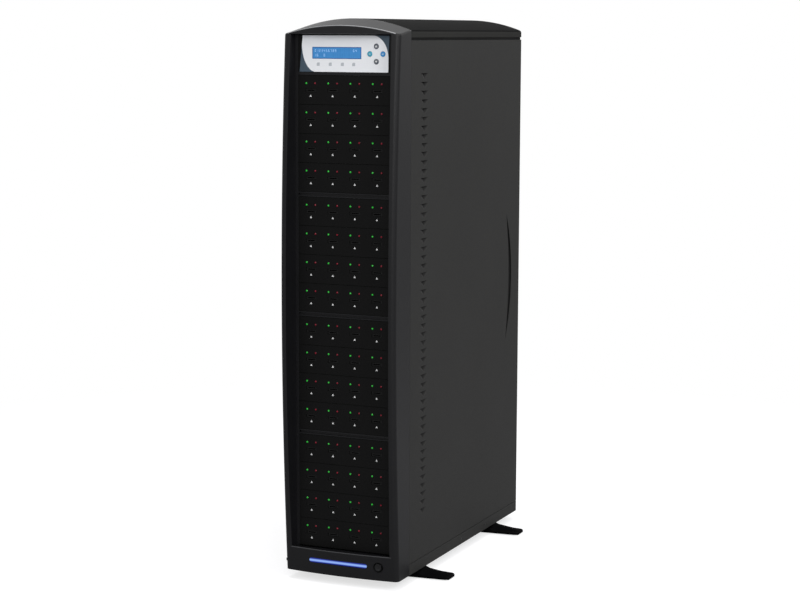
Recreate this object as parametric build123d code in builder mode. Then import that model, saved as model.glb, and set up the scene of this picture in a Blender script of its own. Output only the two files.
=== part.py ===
from build123d import *
import math
import os

# Tower duplicator for memory cards: one arched steel case, a doubly bowed moulded front
# bezel, a keypad panel and sixteen bay panels of four card slots each.
# Millimetres, X to the right of the front, Y to the rear, Z up, floor at Z 0.

os.makedirs("parts", exist_ok=True)

# Clearances
fit_gap = 0.3               # between pieces of one body
slide_gap = 0.35            # between pieces that move past each other
shaft_gap = 0.05            # radial, between a shaft and its bore

# Bay panels and their stack
panel_width = 146.0
bay_pitch = 42.3            # half of a 5.25 inch bay
rows_per_bank = 4
bank_count = 4
bank_bar = 7.5              # bezel bar between two banks
bar_groove = 3.7
bar_groove_depth = 3.0
panel_seam = 0.5            # joint line between two bay panels
panel_thick = 2.0
tray_depth = 58.0           # panel face to the rear of the tray's side walls
tray_wall = 1.2
tray_height = 37.0

# Card slots and indicator lights of one bay panel
slots_per_row = 4
slot_pitch = 35.4
slot_height = 20.45         # bottom of a bay panel to the slot's centre
slot_window_width = 16.5
slot_window_height = 4.9
card_slit_width = 11.6
card_slit_height = 1.5
card_depth = 14.0
socket_inset = 1.2          # panel face to the socket's mouth
light_rise = 10.2           # slot centre to the lights
light_reach = 7.05          # slot centre to each light, sideways
light_width = 2.9
light_proud = 0.4
light_gap = 0.2
board_depth = 18.0          # panel face to the reader board's front
board_thick = 1.6
board_height = 34.0

# Keypad panel
lcd_height = 53.0
lcd_margin = 1.0            # above it, to the bezel's opening
lcd_strip = 4.6             # bezel bar below it
lcd_plate = 2.5
lcd_plate_depth = 30.0      # panel face to the rear of its side walls
window_width = 76.0
window_height = 14.8
window_x = -11.0
window_rise = 27.6          # bottom of the keypad panel to the window's centre
window_flange = 2.0
key_radius = 3.75
key_x = 51.8
key_rise = 26.5             # bottom of the keypad panel to the keypad's centre
key_reach_x = 10.3
key_reach_z = 10.9
key_proud = 1.1
key_travel = 0.7
key_flange = 1.0
switch_height = 4.5
switch_width = 6.0
plunger_width = 3.0

# Case
pillar_width = 18.8         # bezel opening to the side of the case
case_depth = 447.5          # bezel joint to the rear edge of the side panels
foot_height = 14.0          # floor to the base pan
base_height = 16.7
chin_height = 35.6          # underside of the bezel to its opening
chin_lip = 2.1              # opening to the lowest bay panel
brow_height = 23.2          # opening to the crown of the arch
arch_rise = 17.2            # ends of the arch to its crown
cover_side = 10.0           # straight side strips of the cover
cover_round = 5.0
cover_gap = 4.0             # shadow gap below the cover
base_gap = 0.6              # joint line above the base pan
steel = 1.0                 # outer panels
chassis_steel = 1.2

# Front bezel
bezel_wall = 2.8
bezel_joint = 31.85         # panel faces to the bezel's rear edge
pillar_reach = 24.8         # panel faces to the pillars' front edges at mid-height
side_bow = 6.0              # bow across the width
front_bow = 15.4            # bow over the height
corner_round = 7.0
brow_round = 3.2            # round the top of the bezel, front and sides
brow_slope = 12.0           # degrees, the crown's fall towards the front
brow_end_slope = 8.0        # degrees, the same at the ends of the arch
ledge_width = 4.7           # flat border between the bay panels and a pillar
pillar_lean = 10.0          # degrees, pillars' inner faces
lip_lean = -4.0             # degrees, top of the chin, rising to the front
brow_lean = 4.0             # degrees, underside of the brow
collar_depth = 12.0         # behind the panel faces
body_margin = 1.0           # of a cutting body past what it cuts
sweep_margin = 1.3          # of the bowed form's sweep, the same

# Light bar and power button in the chin
light_bar_length = 94.0
light_bar_height = 6.6
light_bar_x = -3.0
chin_line = 20.3            # underside of the bezel to both centres
light_bar_gap = 0.15
power_x = 61.9
power_ring_radius = 7.5
power_button_radius = 5.5
power_proud = 0.8
ring_seat = 1.8             # bezel's inner wall to the ring's flange
power_travel = 2.0
front_board_depth = -2.0    # behind the panel faces
front_board_height = 18.0
front_board_edge = 10.0     # past the light bar and the power button
post_width = 5.0
post_edge = 8.5             # edge of the keypad panel to its posts

# Side panels
louvre_width = 28.0
louvre_height = 8.5
louvre_depth = 4.0
louvre_pitch = 12.7
louvre_count = 52
louvre_inset = 49.2         # bezel joint to the column's centre
louvre_top = 47.5           # top of the side panel to the first slit
grip_inset = 59.4           # rear edge to the ends of the grip
grip_length = 208.0
grip_bulge = 25.0
grip_inner_bulge = 12.0
grip_drop = 384.0           # top of the side panel to the grip's centre
grip_depth = 2.0
panel_flange = 8.0
rear_flange = 13.0
panel_travel = 18.0

# Thumb screws
thumb_radius = 4.0
thumb_length = 8.0
thumb_shank = 1.7
thumb_sides = 8             # of the shanks and their holes
head_sides = 12
thumb_reach = 7.0           # shank inside the case
thumb_inset = 8.2           # side of the case to the screw
thumb_edge = 40.0           # end of the side panel to the screw

# Chassis
frame_flange = 16.0
rail_gap = 7.0              # bay opening to the frame's side walls
rail_depth = 110.0
rail_slot_height = 5.0
rail_slot_length = 12.0
top_rim = 8.0

# Power supply and exhaust fan
psu_width = 150.0
psu_height = 86.0
psu_length = 140.0
psu_drop = 8.0              # chassis top to the power supply
psu_rim = 5.0               # covered by the rear panel's edge
inlet_x = -50.0
inlet_rise = 58.0           # underside of the power supply to the inlet's centre
inlet_width = 27.0
inlet_height = 20.0
inlet_depth = 20.0
inlet_wall = 1.8
inlet_rim = 1.5
pin_length = 12.0
pin_width = 2.0
pin_height = 6.0
pin_spread = 7.0            # middle pin to the outer ones
rocker_rise = 22.0
rocker_half = 8.9
rocker_height = 12.6
rocker_crown = 2.2
rocker_dip = 0.8
rocker_set_back = 2.0       # rear panel to the rocker's pin
rocker_rim = 1.0            # pin to the lower edge of the rocker's ends
rocker_root = 4.0           # pin to the rocker's root
rocker_root_half = 3.0
rocker_pocket = 12.0
rocker_pin_radius = 1.2
rocker_pin_length = 1.5
rocker_angle = 9.0          # degrees, each way from the middle
psu_fan_x = 28.0
fan_radius = 38.0
fan_tip_gap = 1.2
fan_depth = 25.0
fan_frame = 80.0
fan_plate = 2.5             # motor plate and its arms
fan_hub_radius = 15.0
fan_blades = 7
fan_blade_thick = 1.6
fan_blade_chord = 17.0
fan_blade_pitch = 38.0      # degrees
fan_pin_radius = 1.6
exhaust_drop = 240.0        # chassis top to the exhaust fan's centre
grille_slot = 3.6
grille_pitch = 6.6
grille_rib = 4.0

# Feet
foot_inset = 30.1           # side of the case to the pivots
foot_front_y = 58.0         # bezel joint to the front pivots
foot_rear_y = 352.0
foot_reach = 75.0           # pivot to tip
foot_root_radius = 23.0
foot_tip_radius = 15.5
foot_toe = 6.0              # height at the tip
foot_sides = 12             # the moulding is faceted
foot_ridge_start = 34.0     # pivot to the ridge's high end
tip_length = 12.0
ridge_start_half = 16.5     # half width of the ridge at its base
ridge_end_half = 9.0
ridge_lean = 0.6
ridge_crest = 0.6           # above the foot's plate at the tip
pad_height = 1.6
pad_length = 22.0
pad_width = 18.0
pivot_radius = 4.0
pivot_head_radius = 8.0
pivot_head_height = 3.0

# Places that follow from the sizes above
opening_bottom = foot_height + chin_height
stack_bottom = opening_bottom + chin_lip
row_count = rows_per_bank * bank_count
stack_top = stack_bottom + row_count * bay_pitch + (bank_count - 1) * bank_bar
lcd_bottom = stack_top + lcd_strip
lcd_top = lcd_bottom + lcd_height
opening_top = lcd_top + lcd_margin
top_height = opening_top + brow_height
arch_end = top_height - arch_rise
cover_bottom = arch_end - cover_side
side_top = cover_bottom - cover_gap
base_top = foot_height + base_height
side_bottom = base_top + base_gap
opening_half = panel_width / 2 + fit_gap
case_half = opening_half + pillar_width
case_width = 2 * case_half
foot_pivot_x = case_half - foot_inset
side_bow_radius = (case_half**2 + side_bow**2) / (2 * side_bow)
pillar_root = opening_half + ledge_width
pillar_edge = pillar_root + pillar_reach * math.tan(math.radians(pillar_lean))
pillar_set_back = side_bow_radius - math.sqrt(side_bow_radius**2 - pillar_edge**2)
bezel_reach = pillar_reach + pillar_set_back
rear_reach = bezel_joint + case_depth + thumb_length
panel_y = (pillar_reach - rear_reach) / 2
front_y = panel_y - bezel_reach
joint_y = panel_y + bezel_joint
rear_y = joint_y + case_depth
arch_radius = (case_half**2 + arch_rise**2) / (2 * arch_rise)
arch_centre = top_height - arch_radius
bezel_middle = (foot_height + arch_end) / 2
bezel_half_height = (arch_end - foot_height) / 2
front_bow_radius = (bezel_half_height**2 + front_bow**2) / (2 * front_bow)
bow_axis_y = front_y + front_bow_radius
chin_z = foot_height + chin_line
window_z = lcd_bottom + window_rise
key_z = lcd_bottom + key_rise
floor_plate = foot_height + chassis_steel
chassis_top_z = side_top + fit_gap
rear_panel_y = rear_y - steel - fit_gap - chassis_steel
front_frame_y = joint_y + steel + 2 * fit_gap


def front_surface(x, z):
    """Y of the bowed front at a point of the front view."""
    plan = side_bow_radius - math.sqrt(side_bow_radius**2 - x**2)
    radius = front_bow_radius - plan
    return bow_axis_y - math.sqrt(radius**2 - (z - bezel_middle) ** 2)


def row_bottom(row):
    """Underside of a bay panel, row 0 at the top."""
    below = row_count - 1 - row
    return stack_bottom + below * bay_pitch + (below // rows_per_bank) * bank_bar


def column_x(column):
    return (column - (slots_per_row - 1) / 2) * slot_pitch


def front_plane(y):
    """Plane whose local axes are X and Z and whose normal points to the front."""
    return Plane.XZ.offset(-y)


def finish(piece, name):
    piece.part.label = name
    export_step(piece.part, f"parts/{name}.step")


def case_outline(inset, bottom, rounding=0, crown_fall=0, end_fall=0):
    """Front view of the case, arched at the top, drawn inwards by an inset."""
    half = case_half - inset
    crown = top_height - inset - crown_fall
    shoulder = arch_centre + math.sqrt((arch_radius - inset) ** 2 - half**2) - end_fall
    with BuildSketch() as outline:
        with BuildLine():
            ThreePointArc((-half, shoulder), (0, crown), (half, shoulder))
            Polyline((half, shoulder), (half, bottom), (-half, bottom), (-half, shoulder))
        make_face()
        if rounding > 0:
            ends = outline.vertices().group_by(Axis.Y)[-1]
            fillet(ends, radius=rounding)
    return outline.sketch


def case_limit(inset, rear):
    """Block behind the bowed front whose arched top falls towards the front."""
    front = front_y - body_margin
    bottom = foot_height + inset
    sections = []
    for plane_y in (rear, front):
        ahead = joint_y - plane_y
        crown_fall = ahead * math.tan(math.radians(brow_slope))
        end_fall = ahead * math.tan(math.radians(brow_end_slope))
        outline = case_outline(inset, bottom, 0, crown_fall, end_fall)
        sections.append(front_plane(plane_y) * outline)
    with BuildPart() as limit:
        loft(sections=sections, ruled=True)
    return limit


def bowed_form(inset, rear):
    """The bezel's outer form, bowed over its height and across its width."""
    half = case_half - inset
    bow_start = inset - front_bow_radius
    sweep = sweep_margin * math.degrees(math.asin(bezel_half_height / front_bow_radius))
    start = Plane((0, bow_axis_y, bezel_middle)).rotated((sweep, 0, 0))
    limit = case_limit(inset, rear)
    with BuildPart() as form:
        with BuildSketch(start) as plan:
            with BuildLine():
                ThreePointArc(
                    (-half, bow_start + side_bow), (0, bow_start), (half, bow_start + side_bow)
                )
                back = 2 * bezel_reach + 2 * bezel_joint - front_bow_radius
                side_start = bow_start + side_bow
                Polyline((half, side_start), (half, back), (-half, back), (-half, side_start))
            make_face()
            front_corners = plan.vertices().group_by(Axis.Y)[0]
            if inset > 0:
                chamfer(front_corners, length=(corner_round - inset) * (2 - math.sqrt(2)))
            else:
                fillet(front_corners, radius=corner_round)
        revolve(
            axis=Axis((0, bow_axis_y, bezel_middle), (-1, 0, 0)), revolution_arc=2 * sweep
        )
        add(limit.part, mode=Mode.INTERSECT)
    return form


def opening_section(plane_y, wall):
    """Rectangle of the bezel's opening at one depth, wider to the front by its leans."""
    depth = panel_y - plane_y
    half = pillar_root + wall + depth * math.tan(math.radians(pillar_lean))
    low = opening_bottom - wall - depth * math.tan(math.radians(lip_lean))
    high = opening_top + wall + depth * math.tan(math.radians(brow_lean))
    with BuildSketch(front_plane(plane_y)) as section_sketch:
        with Locations((0, (low + high) / 2)):
            Rectangle(2 * half, high - low)
    return section_sketch.sketch


def straight_block(half, wall, depth):
    """Block behind the panel faces, round the opening by a wall."""
    with BuildPart() as block:
        with BuildSketch(front_plane(panel_y + depth)):
            with Locations((0, (opening_bottom + opening_top) / 2)):
                Rectangle(2 * (half + wall), opening_top - opening_bottom + 2 * wall)
        extrude(amount=depth)
    return block


# Front bezel: outer form, hollow from behind, then the ledge and the collar round the opening
outer_form = bowed_form(0, joint_y)
hollow_form = bowed_form(bezel_wall, joint_y + body_margin)
with BuildPart() as bezel_form:
    add(outer_form.part)
    brow_edge = (
        bezel_form.edges()
        .filter_by(lambda e: e.length > case_half and e.center().Z > opening_top)
        .sort_by(Axis.Y)[0]
    )
    fillet(brow_edge, radius=brow_round)

collar_front = front_y - body_margin
around = [opening_section(panel_y, bezel_wall), opening_section(collar_front, bezel_wall)]
through = [opening_section(panel_y, 0), opening_section(collar_front, 0)]
ledge = straight_block(pillar_root, bezel_wall, bezel_wall)
collar = straight_block(opening_half, bezel_wall, collar_depth)
collar_hole = straight_block(opening_half, 0, collar_depth)
with BuildPart() as bezel_inside:
    loft(sections=around)
    add(ledge.part)
    add(collar.part)
    add(bezel_form.part, mode=Mode.INTERSECT)
with BuildPart() as opening_cut:
    loft(sections=through)
    add(collar_hole.part)

# Bars across the opening, posts of the chin's board
board_front_y = panel_y + front_board_depth
post_places = [
    (light_bar_x - light_bar_length / 2 - front_board_edge / 2, chin_z),
    (power_x + power_ring_radius + front_board_edge / 2, chin_z),
]
with BuildPart() as bezel_bars:
    with BuildSketch(front_plane(panel_y + fit_gap)):
        for bank in range(1, bank_count):
            with Locations((0, row_bottom(bank * rows_per_bank) + bay_pitch + bank_bar / 2)):
                Rectangle(2 * opening_half + bezel_wall, bank_bar - 2 * fit_gap)
        with Locations((0, stack_top + lcd_strip / 2)):
            Rectangle(2 * opening_half + bezel_wall, lcd_strip - 2 * fit_gap)
    extrude(amount=-(collar_depth - fit_gap))
    with BuildSketch(front_plane(panel_y)):
        for bank in range(1, bank_count):
            with Locations((0, row_bottom(bank * rows_per_bank) + bay_pitch + bank_bar / 2)):
                Rectangle(2 * opening_half, bar_groove)
    extrude(amount=-(bar_groove_depth + fit_gap), mode=Mode.SUBTRACT)
with BuildPart() as chin_posts:
    with BuildSketch(front_plane(board_front_y)):
        with Locations(*post_places):
            Rectangle(post_width, post_width)
    extrude(amount=board_front_y - front_y)
    add(bezel_form.part, mode=Mode.INTERSECT)

with BuildPart() as front_bezel:
    add(bezel_form.part)
    add(hollow_form.part, mode=Mode.SUBTRACT)
    add(bezel_inside.part)
    add(opening_cut.part, mode=Mode.SUBTRACT)
    add(bezel_bars.part)
    add(chin_posts.part)
    with BuildSketch(front_plane(panel_y)):
        with Locations((light_bar_x, chin_z)):
            SlotOverall(
                light_bar_length + 2 * light_bar_gap, light_bar_height + 2 * light_bar_gap
            )
        with Locations((power_x, chin_z)):
            Circle(power_ring_radius + light_bar_gap)
    extrude(amount=bezel_reach, mode=Mode.SUBTRACT)
finish(front_bezel, "front_bezel")


def front_box(piece_half, low, high, front, rear, centre=0):
    """Plain block given by its front view and its two depths."""
    with BuildPart() as block:
        with BuildSketch(front_plane(rear)):
            with Locations((centre, (low + high) / 2)):
                Rectangle(2 * piece_half, high - low)
        extrude(amount=rear - front)
    return block


# Bay panels: a face with four card windows and eight light holes, and two side walls
def bay_panel(row):
    low = row_bottom(row)
    middle = low + bay_pitch / 2
    with BuildPart() as panel:
        with BuildSketch(front_plane(panel_y + panel_thick)):
            with Locations((0, middle)):
                Rectangle(panel_width, bay_pitch - panel_seam)
            for column in range(slots_per_row):
                x = column_x(column)
                with Locations((x, low + slot_height)):
                    Rectangle(slot_window_width, slot_window_height, mode=Mode.SUBTRACT)
                light_places = [
                    (x - light_reach, low + slot_height + light_rise),
                    (x + light_reach, low + slot_height + light_rise),
                ]
                with Locations(*light_places):
                    hole = light_width + 2 * light_gap
                    Rectangle(hole, hole, mode=Mode.SUBTRACT)
        extrude(amount=panel_thick)
        with BuildSketch(front_plane(panel_y + tray_depth)):
            wall_x = (panel_width - tray_wall) / 2
            with Locations((-wall_x, middle), (wall_x, middle)):
                Rectangle(tray_wall, tray_height)
        extrude(amount=tray_depth - panel_thick)
    return panel


for row in range(row_count):
    finish(bay_panel(row), f"slot_panel_{row + 1:02d}")

# Reader boards, one behind each bay panel, with a header for the ribbon cable
board_y = panel_y + board_depth
board_half = panel_width / 2 - tray_wall - fit_gap
header_half = 12.0
header_height = 6.0
header_depth = 8.0
header_y = board_y + board_thick + header_depth
with BuildPart() as reader_boards:
    for row in range(row_count):
        middle = row_bottom(row) + bay_pitch / 2
        with BuildSketch(front_plane(board_y + board_thick)):
            with Locations((0, middle)):
                Rectangle(2 * board_half, board_height)
        extrude(amount=board_thick)
        with BuildSketch(front_plane(header_y)):
            with Locations((0, middle)):
                Rectangle(2 * header_half, header_height)
        extrude(amount=header_depth)
finish(reader_boards, "reader_boards")

socket_half = slot_window_width / 2 - fit_gap
socket_height = slot_window_height - 2 * fit_gap
with BuildPart() as card_sockets:
    for row in range(row_count):
        places = [
            (column_x(column), row_bottom(row) + slot_height) for column in range(slots_per_row)
        ]
        with BuildSketch(front_plane(board_y)):
            with Locations(*places):
                Rectangle(2 * socket_half, socket_height)
        extrude(amount=board_depth - socket_inset)
        with BuildSketch(front_plane(panel_y + socket_inset)):
            with Locations(*places):
                Rectangle(card_slit_width, card_slit_height)
        extrude(amount=-card_depth, mode=Mode.SUBTRACT)
finish(card_sockets, "card_sockets")


def lights(side):
    """The light pipes of one colour, from the reader boards through the panels."""
    with BuildPart() as pipes:
        places = [
            (column_x(column) + side * light_reach, row_bottom(row) + slot_height + light_rise)
            for row in range(row_count)
            for column in range(slots_per_row)
        ]
        with BuildSketch(front_plane(board_y)):
            with Locations(*places):
                Rectangle(light_width, light_width)
        extrude(amount=board_depth + light_proud)
    return pipes


finish(lights(-1), "leds_green")
finish(lights(1), "leds_red")

# Keypad panel with its window, four keys and the boards behind them
key_places = {
    "key_up": (key_x, key_z + key_reach_z),
    "key_down": (key_x, key_z - key_reach_z),
    "key_left": (key_x - key_reach_x, key_z),
    "key_right": (key_x + key_reach_x, key_z),
}
lcd_half = panel_width / 2
lcd_post_places = [
    (side * (lcd_half - post_edge), level)
    for side in (-1, 1)
    for level in (lcd_bottom + post_edge, lcd_top - post_edge)
]
keypad_board_y = panel_y + board_depth
with BuildPart() as lcd_faceplate:
    with BuildSketch(front_plane(panel_y + lcd_plate)):
        with Locations((0, (lcd_bottom + lcd_top) / 2)):
            Rectangle(2 * lcd_half, lcd_height)
        with Locations((window_x, window_z)):
            Rectangle(window_width + 2 * light_gap, window_height + 2 * light_gap, mode=Mode.SUBTRACT)
        with Locations(*key_places.values()):
            Circle(key_radius + fit_gap, mode=Mode.SUBTRACT)
    extrude(amount=lcd_plate)
    with BuildSketch(front_plane(panel_y + lcd_plate_depth)):
        wall_x = lcd_half - tray_wall / 2
        with Locations(*[(side * wall_x, (lcd_bottom + lcd_top) / 2) for side in (-1, 1)]):
            Rectangle(tray_wall, lcd_height - lcd_strip)
    extrude(amount=lcd_plate_depth - lcd_plate)
    with BuildSketch(front_plane(keypad_board_y)):
        with Locations(*lcd_post_places):
            Rectangle(post_width, post_width)
    extrude(amount=board_depth - lcd_plate)
finish(lcd_faceplate, "lcd_faceplate")

window_rear_y = panel_y + lcd_plate + window_flange
with BuildPart() as lcd_window:
    with BuildSketch(front_plane(panel_y + lcd_plate)):
        with Locations((window_x, window_z)):
            Rectangle(window_width, window_height)
    extrude(amount=lcd_plate)
    with BuildSketch(front_plane(window_rear_y)):
        with Locations((window_x, window_z)):
            Rectangle(window_width + 2 * window_flange, window_height + 2 * window_flange)
    extrude(amount=window_flange)
finish(lcd_window, "lcd_window")

module_edge = 5.0
module_glass_rear = window_rear_y + module_edge
with BuildPart() as lcd_module:
    with BuildSketch(front_plane(module_glass_rear)):
        with Locations((window_x, window_z)):
            Rectangle(window_width + module_edge, window_height + 2 * window_flange)
    extrude(amount=module_edge)
    with BuildSketch(front_plane(keypad_board_y)):
        with Locations((window_x, window_z)):
            Rectangle(window_width, window_height)
    extrude(amount=keypad_board_y - module_glass_rear)
finish(lcd_module, "lcd_module")

key_rear_y = panel_y + lcd_plate + fit_gap + key_flange
plunger_y = key_rear_y + key_travel + fit_gap
with BuildPart() as controller_board:
    with BuildSketch(front_plane(keypad_board_y + board_thick)):
        with Locations((0, (lcd_bottom + lcd_top) / 2)):
            Rectangle(2 * board_half, lcd_height - 2 * lcd_strip)
    extrude(amount=board_thick)
    with BuildSketch(front_plane(header_y)):
        with Locations((0, (lcd_bottom + lcd_top) / 2)):
            Rectangle(2 * header_half, header_height)
    extrude(amount=header_depth)
    with BuildSketch(front_plane(keypad_board_y)):
        with Locations(*key_places.values()):
            Rectangle(switch_width, switch_width)
    extrude(amount=switch_height)
    with BuildSketch(front_plane(keypad_board_y - switch_height)):
        with Locations(*key_places.values()):
            Rectangle(plunger_width, plunger_width)
    extrude(amount=keypad_board_y - switch_height - plunger_y)
finish(controller_board, "controller_board")

for name, place in key_places.items():
    with BuildPart() as key:
        with BuildSketch(front_plane(key_rear_y)):
            with Locations(place):
                Rectangle(2 * (key_radius + key_flange), 2 * key_radius)
        extrude(amount=key_flange)
        with BuildSketch(front_plane(key_rear_y - key_flange)):
            with Locations(place):
                Circle(key_radius)
        extrude(amount=key_rear_y - key_flange - panel_y + key_proud)
    finish(key, name)

# Flat cable along the headers of all boards
ribbon_thick = 1.2
ribbon_low = row_bottom(row_count - 1) + bay_pitch / 2 - header_height
ribbon_high = (lcd_bottom + lcd_top) / 2 + header_height
finish(
    front_box(header_half, ribbon_low, ribbon_high, header_y, header_y + ribbon_thick),
    "ribbon_cable",
)

# Chin: light bar, power button in its ring, and the board that carries both
with BuildPart() as light_bar:
    with BuildSketch(front_plane(board_front_y)):
        with Locations((light_bar_x, chin_z)):
            SlotOverall(light_bar_length, light_bar_height)
    extrude(amount=board_front_y - front_y)
    add(bezel_form.part, mode=Mode.INTERSECT)
finish(light_bar, "light_bar")

power_surface = front_surface(power_x, chin_z)
ring_rear = power_surface + bezel_wall + ring_seat
button_wall = 1.0
with BuildPart() as power_button_ring:
    with BuildSketch(front_plane(ring_rear)):
        with Locations((power_x, chin_z)):
            Circle(power_ring_radius)
            Circle(power_button_radius + slide_gap, mode=Mode.SUBTRACT)
    extrude(amount=ring_rear - power_surface + power_proud)
    with BuildSketch(front_plane(ring_rear + button_wall)):
        with Locations((power_x, chin_z)):
            Rectangle(2 * power_ring_radius + 4 * button_wall, 2 * power_ring_radius)
            Circle(power_button_radius + slide_gap, mode=Mode.SUBTRACT)
    extrude(amount=button_wall)
finish(power_button_ring, "power_button_ring")

power_rear = ring_rear + button_wall + fit_gap + button_wall
with BuildPart() as power_button:
    with BuildSketch(front_plane(power_rear)):
        with Locations((power_x, chin_z)):
            Rectangle(2 * (power_button_radius + slide_gap + button_wall), 2 * power_button_radius)
    extrude(amount=button_wall)
    with BuildSketch(front_plane(power_rear - button_wall)):
        with Locations((power_x, chin_z)):
            Circle(power_button_radius)
    extrude(amount=power_rear - button_wall - power_surface + power_proud)
finish(power_button, "power_button")

board_left = light_bar_x - light_bar_length / 2 - front_board_edge
board_right = power_x + power_ring_radius + front_board_edge
plunger_front = power_rear + power_travel + fit_gap
with BuildPart() as front_board:
    with BuildSketch(front_plane(board_front_y + board_thick)):
        with Locations(((board_left + board_right) / 2, chin_z)):
            Rectangle(board_right - board_left, front_board_height)
    extrude(amount=board_thick)
    with BuildSketch(front_plane(board_front_y)):
        with Locations((power_x, chin_z)):
            Rectangle(plunger_width, plunger_width)
    extrude(amount=board_front_y - plunger_front)
finish(front_board, "front_board")

# Top cover: arched shell, closed at the rear
cover_front_y = joint_y + fit_gap
cover_outline = case_outline(0, cover_bottom, cover_round)
cover_inside = case_outline(steel, cover_bottom - steel, cover_round - steel)
with BuildPart() as top_cover:
    with BuildSketch(front_plane(rear_y)):
        add(cover_outline)
    extrude(amount=rear_y - cover_front_y)
    with BuildSketch(front_plane(rear_y - steel)):
        add(cover_inside)
    extrude(amount=rear_y - cover_front_y, mode=Mode.SUBTRACT)
finish(top_cover, "top_cover")


def side_wall(side, low, high, front, rear, inner, outer):
    """Upright block between two distances from the middle of the case."""
    return front_box((outer - inner) / 2, low, high, front, rear, side * (inner + outer) / 2)


def pressed_louvre(side, wall):
    """Half-open dent: a triangular mouth at the top that runs out to a point below."""
    face_x = side * case_half
    deep_x = side * (case_half - louvre_depth - wall)
    half = louvre_width / 2 + wall
    with BuildSketch(Plane.XY) as mouth:
        with BuildLine():
            Polyline((face_x, -half), (face_x, half), (deep_x, 0), close=True)
        make_face()
    with BuildPart() as dent:
        loft(sections=[mouth.face(), Vertex(face_x, 0, -louvre_height - wall)])
    return dent


def grip_sketch(side, wall):
    """Crescent of the finger grip, drawn in Y and Z on the outside of the panel."""
    end_y = rear_y - grip_inset
    middle = side_top - grip_drop
    half = grip_length / 2
    with BuildSketch(Plane((side * case_half, 0, 0), x_dir=(0, 1, 0), z_dir=(1, 0, 0))) as crescent:
        with BuildLine():
            ThreePointArc((end_y, middle - half), (end_y + grip_bulge, middle), (end_y, middle + half))
            ThreePointArc(
                (end_y, middle - half), (end_y + grip_inner_bulge, middle), (end_y, middle + half)
            )
        make_face()
        if wall > 0:
            offset(amount=wall)
    return crescent.sketch


thumb_places = (side_bottom + thumb_edge, side_top - thumb_edge)
for side, name in ((-1, "left"), (1, "right")):
    slits = [
        (0, joint_y + louvre_inset, side_top - louvre_top - index * louvre_pitch)
        for index in range(louvre_count)
    ]
    inner = case_half - steel
    flange_end = rear_panel_y - panel_travel - steel
    front_end = cover_front_y + steel
    walls = [
        side_wall(side, side_bottom, side_top, cover_front_y, rear_y, inner, case_half),
        side_wall(side, side_bottom, side_top, cover_front_y, front_end, inner - panel_flange, inner),
        side_wall(side, side_bottom, side_top, rear_y - steel, rear_y, inner - rear_flange, inner),
    ]
    for low in (side_bottom, side_top - steel):
        walls.append(
            side_wall(side, low, low + steel, cover_front_y, flange_end, inner - panel_flange, inner)
        )
    bulge = pressed_louvre(side, steel)
    dent = pressed_louvre(side, 0)
    grip_outside = grip_sketch(side, steel)
    grip_inside = grip_sketch(side, 0)
    with BuildPart() as side_panel:
        for wall in walls:
            add(wall.part)
        with Locations(*slits):
            add(bulge.part)
        with Locations(*slits):
            add(dent.part, mode=Mode.SUBTRACT)
        extrude(grip_outside, amount=-side * (grip_depth + steel))
        extrude(grip_inside, amount=-side * grip_depth, mode=Mode.SUBTRACT)
        with BuildSketch(front_plane(rear_y)):
            with Locations(*[(side * (case_half - thumb_inset), z) for z in thumb_places]):
                RegularPolygon(thumb_shank + 2 * fit_gap, thumb_sides)
        extrude(amount=steel, mode=Mode.SUBTRACT)
    finish(side_panel, f"{name}_side_panel")
    with BuildPart() as thumb_screws:
        for z in thumb_places:
            place = (side * (case_half - thumb_inset), z)
            with BuildSketch(front_plane(rear_y + thumb_length)):
                with Locations(place):
                    RegularPolygon(thumb_radius, head_sides)
            extrude(amount=thumb_length - fit_gap)
            with BuildSketch(front_plane(rear_y + fit_gap)):
                with Locations(place):
                    RegularPolygon(thumb_shank, thumb_sides)
            extrude(amount=steel + chassis_steel + thumb_reach)
    finish(thumb_screws, f"thumb_screws_{name}")

# Chassis: base pan, front frame, bay rails, top plate and rear panel
base_front_y = cover_front_y
pivot_places = [
    (side * foot_pivot_x, joint_y + y) for side in (-1, 1) for y in (foot_front_y, foot_rear_y)
]
with BuildPart() as base_pan:
    with BuildSketch(Plane.XY.offset(foot_height)):
        with Locations((0, (base_front_y + rear_y) / 2)):
            Rectangle(case_width, rear_y - base_front_y)
    extrude(amount=base_height)
    offset(
        amount=-chassis_steel, openings=base_pan.faces().sort_by(Axis.Z)[-1], mode=Mode.REPLACE
    )
    with BuildSketch(Plane.XY.offset(foot_height)):
        with Locations(*pivot_places):
            RegularPolygon(pivot_radius + 3 * fit_gap, head_sides)
    extrude(amount=chassis_steel, mode=Mode.SUBTRACT)
finish(base_pan, "base_pan")

frame_half = opening_half + rail_gap
bay_low = stack_bottom - fit_gap
bay_high = stack_top + fit_gap
frame_walls = [
    side_wall(
        side, floor_plate, chassis_top_z, front_frame_y + chassis_steel,
        front_frame_y + frame_flange, frame_half - chassis_steel, frame_half,
    )
    for side in (-1, 1)
]
with BuildPart() as front_frame:
    with BuildSketch(front_plane(front_frame_y + chassis_steel)):
        with Locations((0, (floor_plate + chassis_top_z) / 2)):
            Rectangle(2 * frame_half, chassis_top_z - floor_plate)
        with Locations((0, (bay_low + bay_high) / 2)):
            Rectangle(2 * (opening_half + fit_gap), bay_high - bay_low, mode=Mode.SUBTRACT)
    extrude(amount=chassis_steel)
    for wall in frame_walls:
        add(wall.part)
finish(front_frame, "front_frame")

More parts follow.
